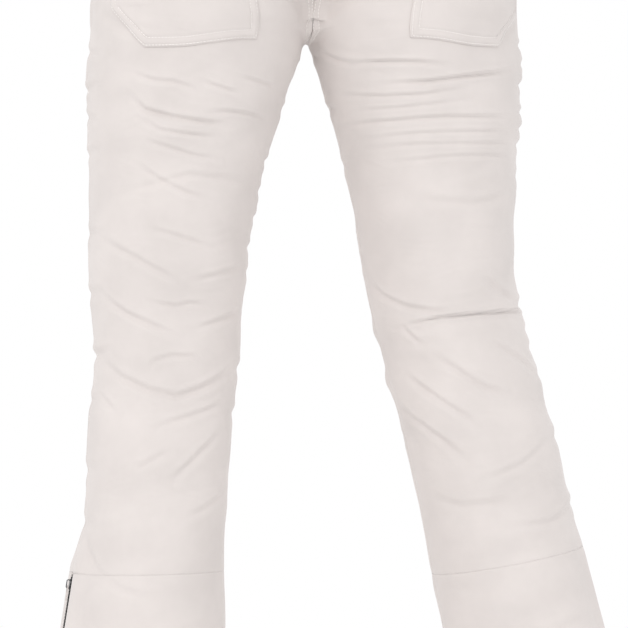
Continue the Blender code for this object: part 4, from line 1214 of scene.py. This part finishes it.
def add_closure_tab():
    top, bottom = WAIST_TOP - 0.002, WAIST_TOP - BAND_HEIGHT + 0.002
    heights = np.linspace(top, bottom, 22)
    found = [tab_line(h, 0.0) for h in heights]
    points, normals = (np.array([f[k] for f in found]) for k in (0, 1))
    rows, columns = points.shape[:2]
    r, c = np.arange(rows)[:, None] * TAB_CELL[0], np.arange(columns)[None] * TAB_CELL[1]
    near = np.minimum(np.minimum(r, r[-1] - r), c[0, -1] - c)
    groove = 0.0003 * bell((near - 0.003) / 0.0007)
    rise = TAB_RISE + TAB_CLOTH - groove + edge_curl((rows, columns), 1.0, 0.0006)
    outer, inner = points + normals * rise[..., None], points + normals * TAB_RISE
    mesh = mesh_from("closure_tab_cloth", *skin(outer, inner, paired(c, heights[:, None])))
    tab = finished("closure_tab_cloth", mesh, "shell", ["closure_tab"], body=None)

    def stitched(height):
        return tab_line(height, TAB_RISE + TAB_CLOTH - 0.0002, inset=0.003)

    lines = [stitched(h) for h in (top - 0.003, bottom + 0.003)]
    column = [stitched(h) for h in np.linspace(top - 0.003, bottom + 0.003, 12)]
    lines.append(tuple(np.array([found[k][-1] for found in column]) for k in (0, 1)))
    stitches = sew("closure_tab_stitches", lines, body=None)
    for piece in (tab, stitches):
        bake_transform(piece)


# ---------------------------------------------------------------- zips

# One tooth in millimetres: its outline seen from outside, and how wide it is at each height.
TOOTH_OUTLINE = [(0.0, -0.42), (0.55, -0.55), (2.1, -0.40), (2.1, 0.40), (0.55, 0.55), (0.0, 0.42)]
TOOTH_LEVELS = [(0.86, -3.2), (1.0, -2.9), (1.0, -0.75), (0.84, -0.3)]
TOOTH_MIDDLE = 1.05
TOOTH_PITCH = 0.00155


def tooth(x, y, flip):
    """One moulded tooth: a rounded block with a lip towards the middle, as (vertices, faces)."""
    vertices = []
    for grow, z in TOOTH_LEVELS:
        for u, v in TOOTH_OUTLINE:
            wide = u if grow == 1 else TOOTH_MIDDLE + (u - TOOTH_MIDDLE) * grow
            vertices.append((x + flip * wide / 1000, y + v * grow / 1000, z / 1000))
    n = len(TOOTH_OUTLINE)
    faces = [tuple(range(n)), tuple(range(3 * n, 4 * n))]
    for m in range(0, 3 * n, n):
        faces += [(m + i, m + (i + 1) % n, m + n + (i + 1) % n, m + n + i) for i in range(n)]
    return vertices, faces


def add_zip(name, stop_at_top, spread):
    """The teeth and the two halves of the tape. The rows part by the spread, from the stop onwards."""
    found = ZIPS[name]
    length = found["length"]
    stop, way = (0.0, 1) if stop_at_top else (length, -1)
    teeth = []
    for number in range(int((length - 0.004) / TOOTH_PITCH)):
        y = stop + way * (0.0030 + number * TOOTH_PITCH)
        open_by = spread * abs(y - stop) / length
        teeth += [(flip * (TOOTH_INNER + open_by), y + flip * 0.25 * TOOTH_PITCH, flip) for flip in (-1, 1)]
    teeth += [(flip * 0.0001, stop + way * 0.0009, flip) for flip in (-1, 1)]
    vertices, faces = [], []
    for place in teeth:
        v, f = tooth(*place)
        faces += [tuple(i + len(vertices) for i in face) for face in f]
        vertices += v
    mesh = mesh_from(name + "_teeth", placed(found["matrix"], vertices), faces)
    finished(f"{name}_zip_teeth_moulded", mesh, "teeth", [f"{name}_zip_teeth"])
    y = np.linspace(stop - way * 0.0045, length - stop, 90)
    open_by = spread * np.clip(abs(y - stop) / length, 0, 1)
    x = np.linspace(0.0022, 0.0135, 16)
    rib = 0.00008 * np.cos(2 * math.pi * x / 0.0013)
    for flip, label in ((-1, "left"), (1, "right")):
        grid_x = flip * (x[None] + open_by[:, None])
        grid_y = y[:, None] + 0 * x
        levels = (TAPE_OUT + 0.0003 + rib + 0 * grid_x, TAPE_OUT - 0.0003 + 0 * grid_x)
        outer, inner = (placed(found["matrix"], np.stack([grid_x, grid_y, z], -1)) for z in levels)
        mesh = mesh_from(name + "_tape", *skin(outer, inner, paired(x[None], y[:, None])))
        finished(f"{name}_zip_tape_{label}_half", mesh, "tape", [f"{name}_zip_tape"])


def dress_cad_nodes():
    """Sliders, pulls and snaps keep their CAD shape and get their own materials; sliders and pulls also get
    rounded edges.
    """
    for name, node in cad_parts.items():
        kind = next((k for k in ("slider", "pull") if name.endswith(k)), "metal" if "snap" in name else None)
        if kind is None:
            continue
        for held in node.material_slots:
            held.material = MATERIALS[kind]
        if not node.material_slots:
            node.data.materials.append(MATERIALS[kind])
        if kind != "metal":
            bevel = node.modifiers.new("Rounded", "BEVEL")
            bevel.width, bevel.segments, bevel.limit_method = 0.00025, 3, "ANGLE"


def add_fly_shield():
    found = ZIPS["fly"]
    length = found["length"]
    outline = [(-0.016, -0.004), (0.026, -0.004), (0.026, length), (0.018, length + 0.010),
               (-0.006, length + 0.010), (-0.016, length)]
    vertices = [(x, y, z) for z in (-0.0066, -0.0054) for x, y in outline]
    n = len(outline)
    faces = [tuple(range(n)), tuple(range(n, 2 * n))]
    faces += [(i, (i + 1) % n, (i + 1) % n + n, i + n) for i in range(n)]
    points = placed(found["matrix"], vertices)
    mesh = mesh_from("fly_shield_cloth", points, faces, points[:, ::2])
    piece = finished("fly_shield_cloth", mesh, "shell", ["fly_shield"])
    bevel = piece.modifiers.new("Folded edge", "BEVEL")
    bevel.width, bevel.segments = 0.0005, 3
    piece.data.set_sharp_from_angle(angle=math.radians(35))


# ---------------------------------------------------------------- seams


def seam_lines():
    """The rows of stitches along the seams of both legs and down the middle."""
    lines = []
    for side in SIDES:
        hem, back = HEM[side], LEGS[side, 1]
        for way in (-1, 1):
            end = LEGS[side, way].length([hem + 0.02])[0]
            for height in (hem + 0.0200, hem + 0.0215):
                start = zip_edge(side, way, height, SLIT_HALF, 0.0) + 0.002
                lines.append(line_on(side, way, [(start, height), (end - 0.001, height)]))
        for below, below_end in ((0.0020, 0.001), (0.0080, 0.0055)):
            height, end = YOKE_SEAM - below, back.length([YOKE_SEAM - below_end])[0]
            start = zip_edge(side, 1, height, SLIT_HALF, 0.0) + 0.003
            lines.append(line_on(side, 1, [(start, height), (end - 0.001, height)]))
        for way, top, insets in ((1, WAIST_TOP - BAND_HEIGHT - 0.004, (0.0020, 0.0078)),
                                 (-1, FLY_ZIP[1] - 0.01, (0.0020,))):
            heights = np.linspace(CROTCH + 0.004, top, 24)
            for inset in insets:
                path = [(LEGS[side, way].length([h])[0] - inset, h) for h in heights]
                lines.append(line_on(side, way, path))
    return lines


def zip_lines():
    lines = []
    for side in SIDES:
        for name in ("ankle", "hand"):
            found = ZIPS[f"{side}_{name}"]
            top = found["top"] - (0.002 if name == "ankle" else 0.0)
            bottom = HEM[side] + 0.004 if name == "ankle" else found["bottom"]
            heights = np.linspace(top - 0.002, bottom + 0.002, 40)
            for way in (-1, 1):
                path = [(zip_edge(side, way, h, SLIT_HALF + 0.0024, 0.008), h) for h in heights]
                lines.append(line_on(side, way, path))
    left = LEGS["left", -1]
    heights = np.linspace(WAIST_TOP - BAND_HEIGHT - 0.004, FLY_ZIP[1] + 0.022, 20)
    for inset in (0.034, 0.0375):
        path = [(left.length([h])[0] - inset, h) for h in heights]
        for turn in np.linspace(0, 1, 12)[1:]:
            angle = turn * math.pi / 2
            h = heights[-1] - (inset - 0.004) * math.sin(angle)
            path.append((left.length([h])[0] - 0.003 - (inset - 0.003) * math.cos(angle), h))
        lines.append(line_on("left", -1, path))
    return lines


# ---------------------------------------------------------------- studio

# Name, place, size in metres, power in watts and blue share of each light.
LIGHTS = [
    ("key", (2.3, 2.9, 2.2), 1.2, 44, 0.98),
    ("fill", (-0.6, 3.6, 0.9), 1.6, 10, 0.985),
    ("front_key", (-1.2, -3.3, 2.2), 1.4, 42, 0.985),
]
LIT_PLACE = (0, 0, -0.5)
FLOOR_RADIUS = 1.45
FLOOR_LEVEL = -1.0425
CAMERA_TURN = math.radians(11)
CAMERA_AWAY = 5.0
CAMERA_AIM = (0, 0, -0.535)
CAMERA_RIGHT = 0.011
PICTURE_WIDTH = 0.628


def aim(thing, target):
    way = Vector(target) - thing.location
    thing.rotation_euler = way.to_track_quat("-Z", "Y").to_euler()


def add_area(name, place, size, power, colour):
    light = bpy.data.lights.new(name, "AREA")
    light.shape, light.size, light.energy, light.color = "SQUARE", size, power, colour
    thing = bpy.data.objects.new(name, light)
    bpy.context.scene.collection.objects.link(thing)
    thing.location = place
    aim(thing, LIT_PLACE)


def add_studio():
    scene = bpy.context.scene
    scene.view_settings.view_transform = "Standard"
    scene.view_settings.look = "None"
    scene.view_settings.exposure, scene.view_settings.gamma = 0.0, 1.0
    world = bpy.data.worlds.new("studio")
    world.use_nodes = True
    world.node_tree.nodes["Background"].inputs["Color"].default_value = (1, 1, 1, 1)
    world.node_tree.nodes["Background"].inputs["Strength"].default_value = 1.0
    scene.world = world
    for name, place, size, power, blue in LIGHTS:
        add_area(name, place, size, power, (1.0, 0.99, blue))
    floor = bpy.data.meshes.new("floor")
    turns = np.linspace(0, 2 * math.pi, 97)[:-1]
    rim = [(FLOOR_RADIUS * math.cos(t), FLOOR_RADIUS * math.sin(t), FLOOR_LEVEL) for t in turns]
    floor.from_pydata(rim, [], [tuple(range(len(rim)))])
    ground = bpy.data.objects.new("floor", floor)
    scene.collection.objects.link(ground)
    made, _, shader = new_material("floor")
    shader.inputs["Base Color"].default_value = (0.90, 0.90, 0.90, 1)
    shader.inputs["Roughness"].default_value = 0.9
    floor.materials.append(made)


def add_camera():
    turn = CAMERA_TURN
    lens = bpy.data.cameras.new("camera")
    lens.sensor_width, lens.lens = 36.0, 36.0 * CAMERA_AWAY / PICTURE_WIDTH
    lens.clip_start, lens.clip_end = 0.1, 60
    camera = bpy.data.objects.new("camera", lens)
    bpy.context.scene.collection.objects.link(camera)
    right = Vector((-math.cos(turn), math.sin(turn), 0))
    target = Vector(CAMERA_AIM) + CAMERA_RIGHT * right
    camera.location = target + CAMERA_AWAY * Vector((math.sin(turn), math.cos(turn), 0))
    aim(camera, target)
    bpy.context.scene.camera = camera


def main():
    for side in SIDES:
        add_leg_pieces(side)
        add_inside(side)
    add_waistband()
    add_belt_loop("belt_loop_back", 1.0, "left")
    for side in SIDES:
        add_belt_loop(f"belt_loop_{side}_front", 0.17, side)
        add_belt_loop(f"belt_loop_{side}_rear", 0.83, side)
    add_closure_tab()
    add_fly_shield()
    sew("seam_stitches", seam_lines())
    sew("zip_stitches", zip_lines())
    for side in SIDES:
        add_zip(side + "_ankle", True, ANKLE_SPREAD)
        add_zip(side + "_hand", False, 0.0)
    add_zip("fly", False, 0.0)
    dress_cad_nodes()
    add_studio()
    add_camera()


main()
